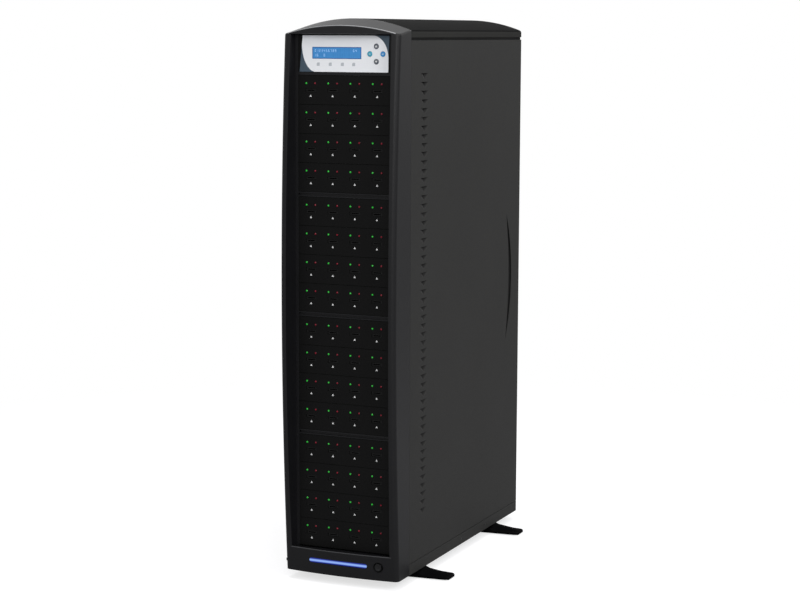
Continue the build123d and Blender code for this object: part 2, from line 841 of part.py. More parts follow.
rail_front_y = front_frame_y + chassis_steel
rail_top = chassis_top_z - fit_gap
rail_inner = panel_width / 2 + fit_gap
for side, name in ((-1, "left"), (1, "right")):
    rail_walls = [
        side_wall(
            side, floor_plate, rail_top, rail_front_y, joint_y + rail_depth,
            rail_inner, rail_inner + chassis_steel,
        ),
        side_wall(
            side, floor_plate, rail_top, rail_front_y, rail_front_y + chassis_steel,
            rail_inner + chassis_steel, frame_half - chassis_steel - fit_gap,
        ),
    ]
    with BuildPart() as bay_rail:
        for wall in rail_walls:
            add(wall.part)
        with BuildSketch(Plane.YZ):
            for row in range(row_count):
                with Locations((panel_y + tray_depth - rail_slot_length, row_bottom(row) + bay_pitch / 2)):
                    Rectangle(rail_slot_length, rail_slot_height)
        extrude(amount=side * (rail_inner + 2 * chassis_steel), mode=Mode.SUBTRACT)
    finish(bay_rail, f"bay_rail_{name}")

top_half = case_half - steel - fit_gap
top_rear_y = rear_y - steel - fit_gap
top_plate = front_box(
    top_half, chassis_top_z, chassis_top_z + chassis_steel, cover_front_y, top_rear_y
)
top_walls = [
    side_wall(
        side, chassis_top_z, chassis_top_z + top_rim, cover_front_y, top_rear_y,
        top_half - chassis_steel, top_half,
    )
    for side in (-1, 1)
]
with BuildPart() as chassis_top:
    add(top_plate.part)
    for wall in top_walls:
        add(wall.part)
finish(chassis_top, "chassis_top")

psu_top = chassis_top_z - psu_drop
psu_low = psu_top - psu_height
psu_z = psu_low + psu_height / 2
exhaust_z = chassis_top_z - exhaust_drop
inlet_z = psu_low + inlet_rise
rocker_z = psu_low + rocker_rise


def grille(radius):
    """Rows of slots that fill a circle, split by an upright rib."""
    rows = int((radius - grille_slot / 2) // grille_pitch)
    with BuildSketch() as slots:
        for index in range(-rows, rows + 1):
            level = index * grille_pitch
            reach = math.sqrt(radius**2 - (abs(level) + grille_slot / 2) ** 2)
            length = reach - grille_rib / 2
            if length > grille_slot:
                middle = grille_rib / 2 + length / 2
                with Locations((-middle, level), (middle, level)):
                    Rectangle(length, grille_slot)
    return slots.sketch


exhaust_grille = grille(fan_radius - fan_tip_gap)
psu_grille = grille(fan_radius - 2 * fan_tip_gap)
with BuildPart() as rear_panel:
    with BuildSketch(front_plane(rear_panel_y + chassis_steel)):
        with Locations((0, (floor_plate + chassis_top_z) / 2)):
            Rectangle(2 * top_half, chassis_top_z - floor_plate)
        with Locations((0, psu_z)):
            Rectangle(psu_width - 2 * psu_rim, psu_height - 2 * psu_rim, mode=Mode.SUBTRACT)
        with Locations((0, exhaust_z)):
            add(exhaust_grille, mode=Mode.SUBTRACT)
        for z in thumb_places:
            with Locations(((case_half - thumb_inset), z), (-(case_half - thumb_inset), z)):
                RegularPolygon(thumb_shank + 2 * fit_gap, thumb_sides, mode=Mode.SUBTRACT)
    extrude(amount=chassis_steel)
finish(rear_panel, "rear_panel")


def fan_rotor(centre_x, centre_z, plate_y):
    """Hub and inclined blades, turning on a pin that stands on the motor plate."""
    low = plate_y + fit_gap
    high = plate_y + fan_depth - 2 * fan_plate - 1
    tip = fan_radius - fan_tip_gap
    with BuildPart() as rotor:
        with BuildSketch(front_plane(high)):
            with Locations((centre_x, centre_z)):
                RegularPolygon(fan_hub_radius, 2 * fan_blades)
        extrude(amount=high - low)
        for blade in range(fan_blades):
            angle = 2 * math.pi * blade / fan_blades
            outward = Vector(math.cos(angle), 0, math.sin(angle))
            start = Vector(centre_x, (low + high) / 2, centre_z) + outward * (fan_hub_radius - 1)
            with BuildSketch(Plane(start, x_dir=(0, 1, 0), z_dir=outward)):
                Rectangle(fan_blade_chord, fan_blade_thick, rotation=90 - fan_blade_pitch)
            extrude(amount=tip - fan_hub_radius)
        with BuildSketch(front_plane(high - fan_plate)):
            with Locations((centre_x, centre_z)):
                Circle(fan_pin_radius + shaft_gap)
        extrude(amount=high - low, mode=Mode.SUBTRACT)
    return rotor


def fan_pin(centre_x, centre_z, plate_y):
    """Pin of a fan, standing on its motor plate."""
    with BuildPart() as pin:
        with BuildSketch(front_plane(plate_y + fan_depth - 4 * fan_plate)):
            with Locations((centre_x, centre_z)):
                Circle(fan_pin_radius)
        extrude(amount=fan_depth - 4 * fan_plate)
    return pin


exhaust_y = rear_panel_y - fan_depth
exhaust_plate_y = exhaust_y + fan_plate
exhaust_pin = fan_pin(0, exhaust_z, exhaust_plate_y)
with BuildPart() as exhaust_fan_frame:
    with BuildSketch(front_plane(rear_panel_y)):
        with Locations((0, exhaust_z)):
            Rectangle(fan_frame, fan_frame)
            Circle(fan_radius, mode=Mode.SUBTRACT)
    extrude(amount=fan_depth)
    with BuildSketch(front_plane(exhaust_plate_y)):
        with Locations((0, exhaust_z)):
            RegularPolygon(fan_hub_radius, 8)
            Rectangle(2 * fan_radius + 2, 2 * fan_plate)
            Rectangle(2 * fan_plate, 2 * fan_radius + 2)
    extrude(amount=fan_plate)
    add(exhaust_pin.part)
finish(exhaust_fan_frame, "exhaust_fan_frame")
finish(fan_rotor(0, exhaust_z, exhaust_plate_y), "exhaust_fan_rotor")

# Power supply with its fan, inlet and rocker
psu_plate_y = rear_panel_y - chassis_steel - fan_depth + fan_plate
rocker_axis_y = rear_panel_y - rocker_set_back
psu_pin = fan_pin(psu_fan_x, psu_z, psu_plate_y)
with BuildPart() as power_supply:
    with BuildSketch(front_plane(rear_panel_y)):
        with Locations((0, psu_z)):
            Rectangle(psu_width, psu_height)
    extrude(amount=psu_length)
    with BuildSketch(front_plane(rear_panel_y - chassis_steel)):
        with Locations((psu_fan_x, psu_z)):
            Rectangle(2 * fan_radius, 2 * fan_radius)
    extrude(amount=fan_depth - fan_plate, mode=Mode.SUBTRACT)
    with BuildSketch(front_plane(rear_panel_y)):
        with Locations((psu_fan_x, psu_z)):
            add(psu_grille)
    extrude(amount=chassis_steel, mode=Mode.SUBTRACT)
    add(psu_pin.part)
    with BuildSketch(front_plane(rear_panel_y)):
        with Locations((inlet_x, inlet_z)):
            Rectangle(inlet_width + 2 * fit_gap, inlet_height + 2 * fit_gap)
    extrude(amount=inlet_depth + fit_gap, mode=Mode.SUBTRACT)
    with BuildSketch(front_plane(rear_panel_y)):
        with Locations((inlet_x, rocker_z)):
            Rectangle(2 * (rocker_half + 3 * fit_gap), rocker_height + 2 * fit_gap)
    extrude(amount=rocker_pocket, mode=Mode.SUBTRACT)
    pin_half = rocker_height / 2 + rocker_pin_length
    with BuildSketch(Plane.XY.offset(rocker_z - pin_half - fit_gap)):
        with Locations((inlet_x, rocker_axis_y)):
            Circle(rocker_pin_radius + shaft_gap)
    extrude(amount=2 * (pin_half + fit_gap), mode=Mode.SUBTRACT)
finish(power_supply, "power_supply")
finish(fan_rotor(psu_fan_x, psu_z, psu_plate_y), "psu_fan_rotor")

inlet_pins = [
    (inlet_x - pin_spread, inlet_z - pin_width),
    (inlet_x, inlet_z + pin_width),
    (inlet_x + pin_spread, inlet_z - pin_width),
]
with BuildPart() as power_inlet:
    with BuildSketch(front_plane(rear_panel_y + inlet_rim)):
        with Locations((inlet_x, inlet_z)):
            Rectangle(inlet_width, inlet_height)
    extrude(amount=inlet_rim + inlet_depth)
    with BuildSketch(front_plane(rear_panel_y + inlet_rim)):
        with Locations((inlet_x, inlet_z)):
            Rectangle(inlet_width + 2 * inlet_rim, inlet_height + 2 * inlet_rim)
    extrude(amount=inlet_rim - fit_gap)
    with BuildSketch(front_plane(rear_panel_y + inlet_rim)):
        with Locations((inlet_x, inlet_z)):
            Rectangle(inlet_width - 2 * inlet_wall, inlet_height - 2 * inlet_wall)
    extrude(amount=inlet_rim + inlet_depth - inlet_wall, mode=Mode.SUBTRACT)
    with BuildSketch(front_plane(rear_panel_y - inlet_depth + inlet_wall + pin_length)):
        with Locations(*inlet_pins):
            Rectangle(pin_width, pin_height)
    extrude(amount=pin_length)
finish(power_inlet, "power_inlet")

tilt = math.radians(rocker_angle)


def tilted(x, y):
    """Point of the rocker's section, turned about its pin to the resting side."""
    return (
        inlet_x + x * math.cos(tilt) - y * math.sin(tilt),
        rocker_axis_y + x * math.sin(tilt) + y * math.cos(tilt),
    )


with BuildPart() as rocker_switch:
    with BuildSketch(Plane.XY.offset(rocker_z - rocker_height / 2)):
        with BuildLine():
            Polyline(
                tilted(-rocker_half, rocker_rim),
                tilted(-rocker_half, rocker_set_back + rocker_crown),
                tilted(0, rocker_set_back + rocker_dip),
                tilted(rocker_half, rocker_set_back + rocker_crown),
                tilted(rocker_half, rocker_rim),
                tilted(rocker_root_half, -rocker_root),
                tilted(-rocker_root_half, -rocker_root),
                close=True,
            )
        make_face()
    extrude(amount=rocker_height)
    with BuildSketch(Plane.XY.offset(rocker_z - pin_half)):
        with Locations((inlet_x, rocker_axis_y)):
            Circle(rocker_pin_radius)
    extrude(amount=2 * pin_half)
finish(rocker_switch, "rocker_switch")

# Swing-out feet with a ridge, rubber pads and pivot bolts
foot_top = foot_height - fit_gap


def ridge_section(plane_x, base_half, height):
    """Trapezium across a foot, with its sides leaning alike all along the ridge."""
    top = base_half - ridge_lean * height
    with BuildSketch(Plane((plane_x, 0, pad_height), x_dir=(0, 1, 0), z_dir=(1, 0, 0))) as section_sketch:
        with BuildLine():
            Polyline((-base_half, 0), (base_half, 0), (top, height), (-top, height), close=True)
        make_face()
    return section_sketch.sketch


ridge_high = foot_top - pad_height
ridge_low = foot_toe - pad_height + ridge_crest
ridge_sections = [
    ridge_section(foot_root_radius / 2, ridge_start_half, ridge_high),
    ridge_section(foot_ridge_start, ridge_start_half, ridge_high),
    ridge_section(foot_reach - tip_length / 2, ridge_end_half, ridge_low),
]
with BuildPart() as foot_form:
    with BuildSketch(Plane.XY.offset(pad_height)):
        RegularPolygon(foot_root_radius, foot_sides)
        with Locations((foot_reach - tip_length / 2, 0)):
            Rectangle(tip_length, foot_tip_radius)
            Rectangle(tip_length / 2, 2 * foot_tip_radius)
        make_hull()
    extrude(amount=foot_toe - pad_height)
    with BuildSketch(Plane.XY.offset(pad_height)):
        RegularPolygon(foot_root_radius, foot_sides)
    extrude(amount=foot_top - pad_height)
    loft(sections=ridge_sections, ruled=True)
    with BuildSketch(Plane.XY.offset(pad_height)):
        Circle(pivot_radius + shaft_gap)
    extrude(amount=foot_height, mode=Mode.SUBTRACT)
    with BuildSketch(Plane.XY.offset(pad_height)):
        RegularPolygon(pivot_head_radius + 2 * slide_gap, foot_sides)
    extrude(amount=pivot_head_height + slide_gap, mode=Mode.SUBTRACT)

with BuildPart() as pad_form:
    with BuildSketch(Plane.XY):
        with Locations((foot_reach - tip_length - 1, 0)):
            Rectangle(pad_length, pad_width)
    extrude(amount=pad_height)

for end, along in (("front", foot_front_y), ("rear", foot_rear_y)):
    for side, name in ((-1, "left"), (1, "right")):
        place = Location((side * foot_pivot_x, joint_y + along, 0), (0, 0, 0 if side > 0 else 180))
        with BuildPart() as foot:
            with Locations(place):
                add(foot_form.part)
        finish(foot, f"foot_{end}_{name}")
        with BuildPart() as pad:
            with Locations(place):
                add(pad_form.part)
        finish(pad, f"foot_pad_{end}_{name}")

with BuildPart() as foot_pivots:
    with BuildSketch(Plane.XY.offset(pad_height + slide_gap / 2)):
        with Locations(*pivot_places):
            RegularPolygon(pivot_head_radius, 6)
    extrude(amount=pivot_head_height)
    with BuildSketch(Plane.XY.offset(pad_height + pivot_head_height)):
        with Locations(*pivot_places):
            Circle(pivot_radius)
    extrude(amount=floor_plate - pad_height)
    with BuildSketch(Plane.XY.offset(floor_plate)):
        with Locations(*pivot_places):
            RegularPolygon(pivot_head_radius, 6)
    extrude(amount=pivot_head_height)
finish(foot_pivots, "foot_pivots")
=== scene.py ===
import math

import bmesh
import bpy
import numpy as np
from mathutils import Matrix, Vector


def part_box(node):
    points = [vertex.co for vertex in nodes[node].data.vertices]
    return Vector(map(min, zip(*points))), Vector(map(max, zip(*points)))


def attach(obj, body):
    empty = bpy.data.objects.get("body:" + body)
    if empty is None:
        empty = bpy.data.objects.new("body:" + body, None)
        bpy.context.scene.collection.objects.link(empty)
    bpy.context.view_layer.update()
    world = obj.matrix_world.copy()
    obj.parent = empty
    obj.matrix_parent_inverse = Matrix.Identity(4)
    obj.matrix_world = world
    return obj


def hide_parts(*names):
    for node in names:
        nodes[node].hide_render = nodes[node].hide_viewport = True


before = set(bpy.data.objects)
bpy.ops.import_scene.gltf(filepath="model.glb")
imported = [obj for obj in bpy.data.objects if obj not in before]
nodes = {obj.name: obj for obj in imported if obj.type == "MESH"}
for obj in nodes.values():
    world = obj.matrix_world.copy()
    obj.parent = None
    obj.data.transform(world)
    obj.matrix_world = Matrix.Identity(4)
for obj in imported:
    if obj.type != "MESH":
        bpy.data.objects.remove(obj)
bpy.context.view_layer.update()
mm = 0.001

# Memory card duplicator: black tower, sixteen bay panels, keypad panel, four feet


def toLinear(hexColour):  # sRGB hex to linear RGBA
    value = np.array([int(hexColour[i:i + 2], 16) for i in (1, 3, 5)]) / 255
    linear = np.where(value <= 0.04045, value / 12.92, ((value + 0.055) / 1.055) ** 2.4)
    return (*linear.tolist(), 1.0)


# adds one node: plain values and sockets go to its inputs, the rest are its settings
def addNode(tree, kind, inputs=None, **settings):
    node = tree.nodes.new(kind)
    for name, value in settings.items():
        setattr(node, name, value)
    for key, value in (inputs or {}).items():
        if isinstance(value, bpy.types.NodeSocket):
            tree.links.new(value, node.inputs[key])
        else:
            node.inputs[key].default_value = value
    return node


def startMaterial(name):  # an empty tree and its Object coordinates, in metres
    material = bpy.data.materials.new(name)
    material.use_nodes = True
    tree = material.node_tree
    tree.nodes.clear()
    place = addNode(tree, "ShaderNodeTexCoord").outputs["Object"]
    return material, tree, place


def endMaterial(material, shaderInputs):  # a Principled shader and the output
    tree = material.node_tree
    shader = addNode(tree, "ShaderNodeBsdfPrincipled", shaderInputs)
    addNode(tree, "ShaderNodeOutputMaterial", {"Surface": shader.outputs[0]})
    return material


def mixColours(tree, factor, first, second):  # each colour is hex or a socket
    first, second = (toLinear(c) if isinstance(c, str) else c for c in (first, second))
    return addNode(tree, "ShaderNodeMix", {0: factor, 6: first, 7: second}, data_type="RGBA").outputs[2]


def mapRange(tree, value, fromLow, fromHigh, low=0, high=1):
    return addNode(tree, "ShaderNodeMapRange", {
        0: value, 1: fromLow, 2: fromHigh, 3: low, 4: high}).outputs[0]


def mathSocket(tree, operation, *values):
    return addNode(tree, "ShaderNodeMath", dict(enumerate(values)), operation=operation).outputs[0]


def vectorSocket(tree, operation, *values):
    node = addNode(tree, "ShaderNodeVectorMath", dict(enumerate(values)), operation=operation)
    return node.outputs["Value" if operation == "LENGTH" else "Vector"]


def axisSocket(tree, vector, axis):
    return addNode(tree, "ShaderNodeSeparateXYZ", {0: vector}).outputs[axis]


noiseRange = (0.3, 0.7)  # most of a noise lies between these


# a grained plastic or paint: base colour with slow drift, grain as bump, gloss that varies a little
def grainedFinish(name, settings):
    material, tree, place = startMaterial(name)
    drift = addNode(tree, "ShaderNodeTexNoise", {
        "Vector": place, "Scale": 1 / (settings["driftMm"] * mm), "Detail": 3.0, "Roughness": 0.6})
    grain = addNode(tree, "ShaderNodeTexNoise", {
        "Vector": place, "Scale": 1 / (settings["grainMm"] * mm), "Detail": 2.0, "Roughness": 0.55})
    shade = mixColours(tree, drift.outputs[0], settings["colour"], settings["drift"])
    if "hollowMm" in settings:  # painted shade: darker the further a point lies inward of the flat flanks
        flush, deep = settings["hollowMm"]
        out = mathSocket(tree, "ABSOLUTE", axisSocket(tree, place, 0))
        shade = mixColours(tree, mapRange(tree, out, flush * mm, deep * mm), shade, settings["hollow"])
    rough, spread = settings["rough"], settings["roughSpread"]
    bump = addNode(tree, "ShaderNodeBump", {
        "Height": grain.outputs[0], "Strength": settings["bump"], "Distance": settings["bumpMm"] * mm})
    return endMaterial(material, {
        "Base Color": shade, "IOR": settings["ior"], "Metallic": settings.get("metallic", 0.0),
        "Roughness": mapRange(tree, grain.outputs[0], *noiseRange, rough - spread, rough + spread),
        "Normal": bump.outputs[0], "Specular IOR Level": settings.get("specular", 0.5)})


# ABS front moulding, spark-eroded satin: near black, even soft sheen
satinAbs = grainedFinish("satinMouldedAbs", {
    "colour": "#0B0B0D", "drift": "#101012", "driftMm": 60, "grainMm": 0.5, "rough": 0.42,
    "roughSpread": 0.04, "bump": 0.04, "bumpMm": 0.03, "ior": 1.53, "specular": 0.2})
# bay panels in matt ABS: darker and flatter than the bezel
mattAbs = grainedFinish("mattMouldedAbs", {
    "colour": "#090909", "drift": "#0D0D0D", "driftMm": 45, "grainMm": 0.6, "rough": 0.5,
    "roughSpread": 0.06, "bump": 0.2, "bumpMm": 0.05, "ior": 1.5, "specular": 0.08})
# steel sheet with satin black powder coat: fine orange peel, grey in the light; painted shade makes it
# near black inward of the flanks, in the louvre dents and recesses
powderCoat = grainedFinish("satinPowderCoatedSteel", {
    "colour": "#1E1E1D", "drift": "#242423", "driftMm": 140, "grainMm": 0.9, "rough": 0.6,
    "roughSpread": 0.06, "bump": 0.25, "bumpMm": 0.06, "ior": 1.5, "specular": 0.2,
    "hollow": "#030303", "hollowMm": (91.9, 90.9)})
# the cover's coat is coarser and duller than the sides', and painted shade makes it darker away from
# its straight flanks
coverCoat = grainedFinish("mattPowderCoatedSteel", {
    "colour": "#2C2C2B", "drift": "#313130", "driftMm": 140, "grainMm": 0.9, "rough": 0.8,
    "roughSpread": 0.06, "bump": 0.25, "bumpMm": 0.06, "ior": 1.5, "specular": 0.03,
    "hollow": "#0C0C0C", "hollowMm": (92.0, 91.4)})
# polypropylene feet: matt, slightly waxy
mattPolypropylene = grainedFinish("mattMouldedPolypropylene", {
    "colour": "#060607", "drift": "#0A0A0B", "driftMm": 25, "grainMm": 0.8, "rough": 0.6,
    "roughSpread": 0.08, "bump": 0.3, "bumpMm": 0.08, "ior": 1.49, "specular": 0.01})
# moulded rubber pads: no gloss, coarse
padRubber = grainedFinish("mouldedRubber", {
    "colour": "#101011", "drift": "#171718", "driftMm": 10, "grainMm": 0.7, "rough": 0.8,
    "roughSpread": 0.05, "bump": 0.4, "bumpMm": 0.1, "ior": 1.52, "specular": 0.2})
# glass-filled nylon of sockets, fans, inlet and rocker
nylon = grainedFinish("glassFilledNylon", {
    "colour": "#0B0B0B", "drift": "#111111", "driftMm": 12, "grainMm": 0.35, "rough": 0.42,
    "roughSpread": 0.07, "bump": 0.2, "bumpMm": 0.04, "ior": 1.53, "specular": 0.15})
# blackened steel of the thumb screws
blackenedSteel = grainedFinish("blackenedTurnedSteel", {
    "colour": "#2B2B2C", "drift": "#3A3A3B", "driftMm": 4, "grainMm": 0.3, "rough": 0.34,
    "roughSpread": 0.08, "bump": 0.2, "bumpMm": 0.03, "ior": 1.5, "metallic": 1.0})
# chassis sheet behind the seams: painted shade, dull and nearly black so the seams read as dark gaps
seamShadeBlack = grainedFinish("seamShadeBlackSteel", {
    "colour": "#0A0A0A", "drift": "#0E0E0E", "driftMm": 30, "grainMm": 0.6, "rough": 0.7,
    "roughSpread": 0.05, "bump": 0.2, "bumpMm": 0.04, "ior": 1.5, "specular": 0.1})
# ring round the push button, matt and deep black
ringAbs = grainedFinish("mattBlackRingAbs", {
    "colour": "#030303", "drift": "#060606", "driftMm": 8, "grainMm": 0.5, "rough": 0.35,
    "roughSpread": 0.04, "bump": 0.05, "bumpMm": 0.02, "ior": 1.53, "specular": 0.05})
# push button cap, polished ABS
glossAbs = grainedFinish("polishedAbs", {
    "colour": "#0A0A0B", "drift": "#0F0F11", "driftMm": 8, "grainMm": 0.5, "rough": 0.2,
    "roughSpread": 0.03, "bump": 0.05, "bumpMm": 0.02, "ior": 1.53, "specular": 0.3})


# zinc-plated sheet: spangle cells of a few millimetres, each a little lighter or darker
def zincFinish(name, settings):
    material, tree, place = startMaterial(name)
    cells = addNode(tree, "ShaderNodeTexVoronoi", {
        "Vector": place, "Scale": 1 / (settings["spangleMm"] * mm), "Randomness": 1.0})
    tone = addNode(tree, "ShaderNodeSeparateColor", {0: cells.outputs["Color"]})
    rough, spread = settings["rough"], settings["roughSpread"]
    return endMaterial(material, {
        "Base Color": mixColours(tree, tone.outputs[0], settings["dark"], settings["light"]),
        "Roughness": mapRange(tree, tone.outputs[1], 0, 1, rough - spread, rough + spread),
        "Metallic": 1.0})


zincSheet = zincFinish("zincPlatedSheet", {
    "dark": "#8E9296", "light": "#A5AFB4", "spangleMm": 7, "rough": 0.38, "roughSpread": 0.06})


# glass epoxy board under green solder mask: copper tracks show as lighter lines
board = {"trackMm": 0.2, "runMm": 9, "pitchMm": 1.5}


def boardFinish():
    material, tree, place = startMaterial("solderMaskedBoard")
    tracks = addNode(tree, "ShaderNodeTexBrick", {
        "Vector": place, "Scale": 1.0, "Mortar Size": board["trackMm"] * mm,
        "Brick Width": board["runMm"] * mm, "Row Height": board["pitchMm"] * mm,
        "Color1": toLinear("#124A2B"), "Color2": toLinear("#175634"), "Mortar": toLinear("#2E7A4C")})
    return endMaterial(material, {"Base Color": tracks.outputs[0], "Roughness": 0.32, "IOR": 1.52})


# flat cable: grey PVC with a shallow groove every 8 mm, which is one turn of the wave. A wave
# texture turns by 20 radians to the unit.
cable = {"radianMm": 1.27, "radiansPerUnit": 20, "grooveMm": 0.3}


def cableFinish():
    material, tree, place = startMaterial("ribbedPvcCable")
    ribs = addNode(tree, "ShaderNodeTexWave", {
        "Vector": place, "Scale": 1 / (cable["radianMm"] * mm) / cable["radiansPerUnit"],
        "Distortion": 0.0}, bands_direction="X")
    bump = addNode(tree, "ShaderNodeBump", {
        "Height": ribs.outputs[1], "Strength": 0.6, "Distance": cable["grooveMm"] * mm})
    # painted shade: darker in each groove and lighter on each rib, in step with the bump
    return endMaterial(material, {
        "Base Color": mixColours(tree, ribs.outputs[1], "#77787A", "#A2A3A5"), "Roughness": 0.45,
        "Normal": bump.outputs[0]})


boardEpoxy = boardFinish()
cablePvc = cableFinish()
print("finishes made")

# which finish each carried-over CAD node gets
nodeFinish = {
    "front_bezel": satinAbs, "power_button_ring": satinAbs, "top_cover": coverCoat,
    "left_side_panel": powderCoat, "right_side_panel": powderCoat, "base_pan": powderCoat,
    "front_frame": seamShadeBlack, "bay_rail_left": zincSheet, "bay_rail_right": zincSheet,
    "chassis_top": seamShadeBlack, "rear_panel": zincSheet, "power_supply": zincSheet,
    "foot_pivots": zincSheet, "lcd_faceplate": mattAbs, "lcd_module": boardEpoxy,
    "controller_board": boardEpoxy, "reader_boards": boardEpoxy, "front_board": boardEpoxy,
    "card_sockets": nylon, "ribbon_cable": cablePvc, "power_inlet": nylon, "rocker_switch": nylon,
    "psu_fan_rotor": nylon, "exhaust_fan_rotor": nylon, "exhaust_fan_frame": nylon,
    "foot_pad_front_left": padRubber, "foot_pad_front_right": padRubber,
    "foot_pad_rear_left": padRubber, "foot_pad_rear_right": padRubber,
}
slotPanels = [f"slot_panel_{row:02d}" for row in range(1, 17)]
nodeFinish.update({name: mattAbs for name in slotPanels})
for name, finish in nodeFinish.items():
    data = nodes[name].data
    data.materials.clear()
    data.materials.append(finish)
print("finishes on", len(nodeFinish), "CAD nodes")


# quads between neighbouring points of one or many grids (copies, rows, columns, 3)
def gridSurface(points, wrapColumns=False):
    points = np.asarray(points, float)
    if points.ndim == 3:
        points = points[None]
    copies, rows, columns = points.shape[:3]
    i = np.arange(rows - 1)
    j = np.arange(columns if wrapColumns else columns - 1)
    i, j = np.meshgrid(i, j, indexing="ij")
    nextJ = (j + 1) % columns
    quad = np.stack([i * columns + j, i * columns + nextJ, (i + 1) * columns + nextJ,
                     (i + 1) * columns + j], -1).reshape(-1, 4)
    quads = (quad[None] + (np.arange(copies) * rows * columns)[:, None, None]).reshape(-1, 4)
    return points.reshape(-1, 3), quads


def addObject(name, data):  # one object, in the scene's collection
    added = bpy.data.objects.new(name, data)
    bpy.context.scene.collection.objects.link(added)
    return added


sharpAngle = 35  # degrees; edges that bend more stay sharp


# one mesh object from several surfaces, in metres from millimetres, welded and shaded
def makePiece(name, surfaces, body, material, replaced=()):
    offsets = np.cumsum([0] + [len(points) for points, _ in surfaces[:-1]])
    points = np.concatenate([points for points, _ in surfaces]) * mm
    quads = np.concatenate([quads + shift for (_, quads), shift in zip(surfaces, offsets)])
    mesh = bpy.data.meshes.new(name)
    mesh.vertices.add(len(points))
    mesh.vertices.foreach_set("co", points.ravel())
    mesh.loops.add(quads.size)
    mesh.loops.foreach_set("vertex_index", quads.ravel().astype(np.int32))
    mesh.polygons.add(len(quads))
    mesh.polygons.foreach_set("loop_start", np.arange(0, quads.size, 4, dtype=np.int32))
    mesh.update(calc_edges=True)
    mesh.validate()
    weld(mesh)
    mesh.polygons.foreach_set("use_smooth", np.ones(len(mesh.polygons), bool))
    mesh.set_sharp_from_angle(angle=math.radians(sharpAngle))
    mesh.materials.append(material)
    piece = addObject(name, mesh)
    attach(piece, body)
    if replaced:
        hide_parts(*replaced)


def weld(mesh):  # closes seams and poles, then turns faces outwards
    work = bmesh.new()
    work.from_mesh(mesh)
    bmesh.ops.remove_doubles(work, verts=work.verts, dist=1e-7)
    bmesh.ops.recalc_face_normals(work, faces=work.faces)
    work.to_mesh(mesh)
    work.free()


# copies of one closed surface at many places (x, z)
def atPlaces(one, places, frontY):
    places = np.asarray(places, float)
    shift = np.stack([places[:, 0], np.full(len(places), frontY), places[:, 1]], -1)
    return gridSurface(one[None] + shift[:, None, None, :], wrapColumns=True)


# a profile of (radius, depth) turned about an axis that points to the front, at many places
def turnedFront(profile, places, frontY, steps=24):
    profile = np.asarray(profile, float)
    turn = np.linspace(0, 2 * np.pi, steps, endpoint=False)
    x = profile[:, 0, None] * np.cos(turn)
    z = profile[:, 0, None] * np.sin(turn)
    y = np.repeat(profile[:, 1, None], steps, 1)
    return atPlaces(np.stack([x, y, z], -1), places, frontY)


# a flat outline (closed loop of x, z) carried back from one depth to another, with both ends closed
def flatPrism(outline, places, frontY, depth):
    outline = np.asarray(outline, float)
    middle = outline.mean(0)
    rings = np.stack([np.broadcast_to(middle, outline.shape), outline, outline,
                      np.broadcast_to(middle, outline.shape)])
    depths = np.array([0, 0, depth, depth])[:, None] * np.ones(len(outline))
    return atPlaces(np.stack([rings[..., 0], depths, rings[..., 1]], -1), places, frontY)


def boxMm(name):  # a CAD node's box in millimetres
    low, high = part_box(name)
    return np.array(low) / mm, np.array(high) / mm


# Camera at the photograph's viewing angle
camera = {"place": (1.2379, -2.81408, 0.8137), "azimuth": 23.965, "elevation": 7.717, "roll": 0.2,
          "lens": 89.08}
azimuth, elevation, roll = (math.radians(camera[k]) for k in ("azimuth", "elevation", "roll"))
back = Vector((math.sin(azimuth) * math.cos(elevation), -math.cos(azimuth) * math.cos(elevation),
               math.sin(elevation)))
right = Vector((math.cos(azimuth), math.sin(azimuth), 0))
up = back.cross(right)
rightRolled = right * math.cos(roll) + up * math.sin(roll)
upRolled = up * math.cos(roll) - right * math.sin(roll)
lens = bpy.data.cameras.new("photoCamera")
lens.lens = camera["lens"]
lens.sensor_width = 36
lens.clip_end = 50
cameraObject = addObject("photoCamera", lens)
cameraObject.matrix_world = Matrix.Translation(camera["place"]) @ Matrix(
    (rightRolled, upRolled, back)).transposed().to_4x4()
bpy.context.scene.camera = cameraObject
print("camera set")

# Bay panels: where every slot and light is
slotGrid = {"columns": 4, "pitch": 35.4, "lightRise": 30.4, "lightReach": 7.05, "arrowRise": 12.55}
columns = (np.arange(slotGrid["columns"]) - (slotGrid["columns"] - 1) / 2) * slotGrid["pitch"]
rowLows = np.array([boxMm(name)[0][2] for name in slotPanels])
panelY = boxMm("slot_panel_01")[0][1]


def slotPlaces(reach, rise):  # x, z of one point of every slot, all rows and columns
    x, low = np.meshgrid(columns + reach, rowLows)
    return np.stack([x.ravel(), (low + rise).ravel()], -1)


# a lit epoxy lens: bright core where its glassy dome faces the eye, deeper colour at its rim
def lensFinish(name, settings):
    material, tree, _ = startMaterial(name)
    facing = addNode(tree, "ShaderNodeLayerWeight", {"Blend": 0.35})
    shade = mixColours(tree, facing.outputs["Facing"], settings["core"], settings["rim"])
    return endMaterial(material, {
        "Base Color": shade, "Roughness": 0.15, "IOR": 1.57, "Specular IOR Level": 0.2,
        "Emission Color": shade, "Emission Strength": settings["glow"]})


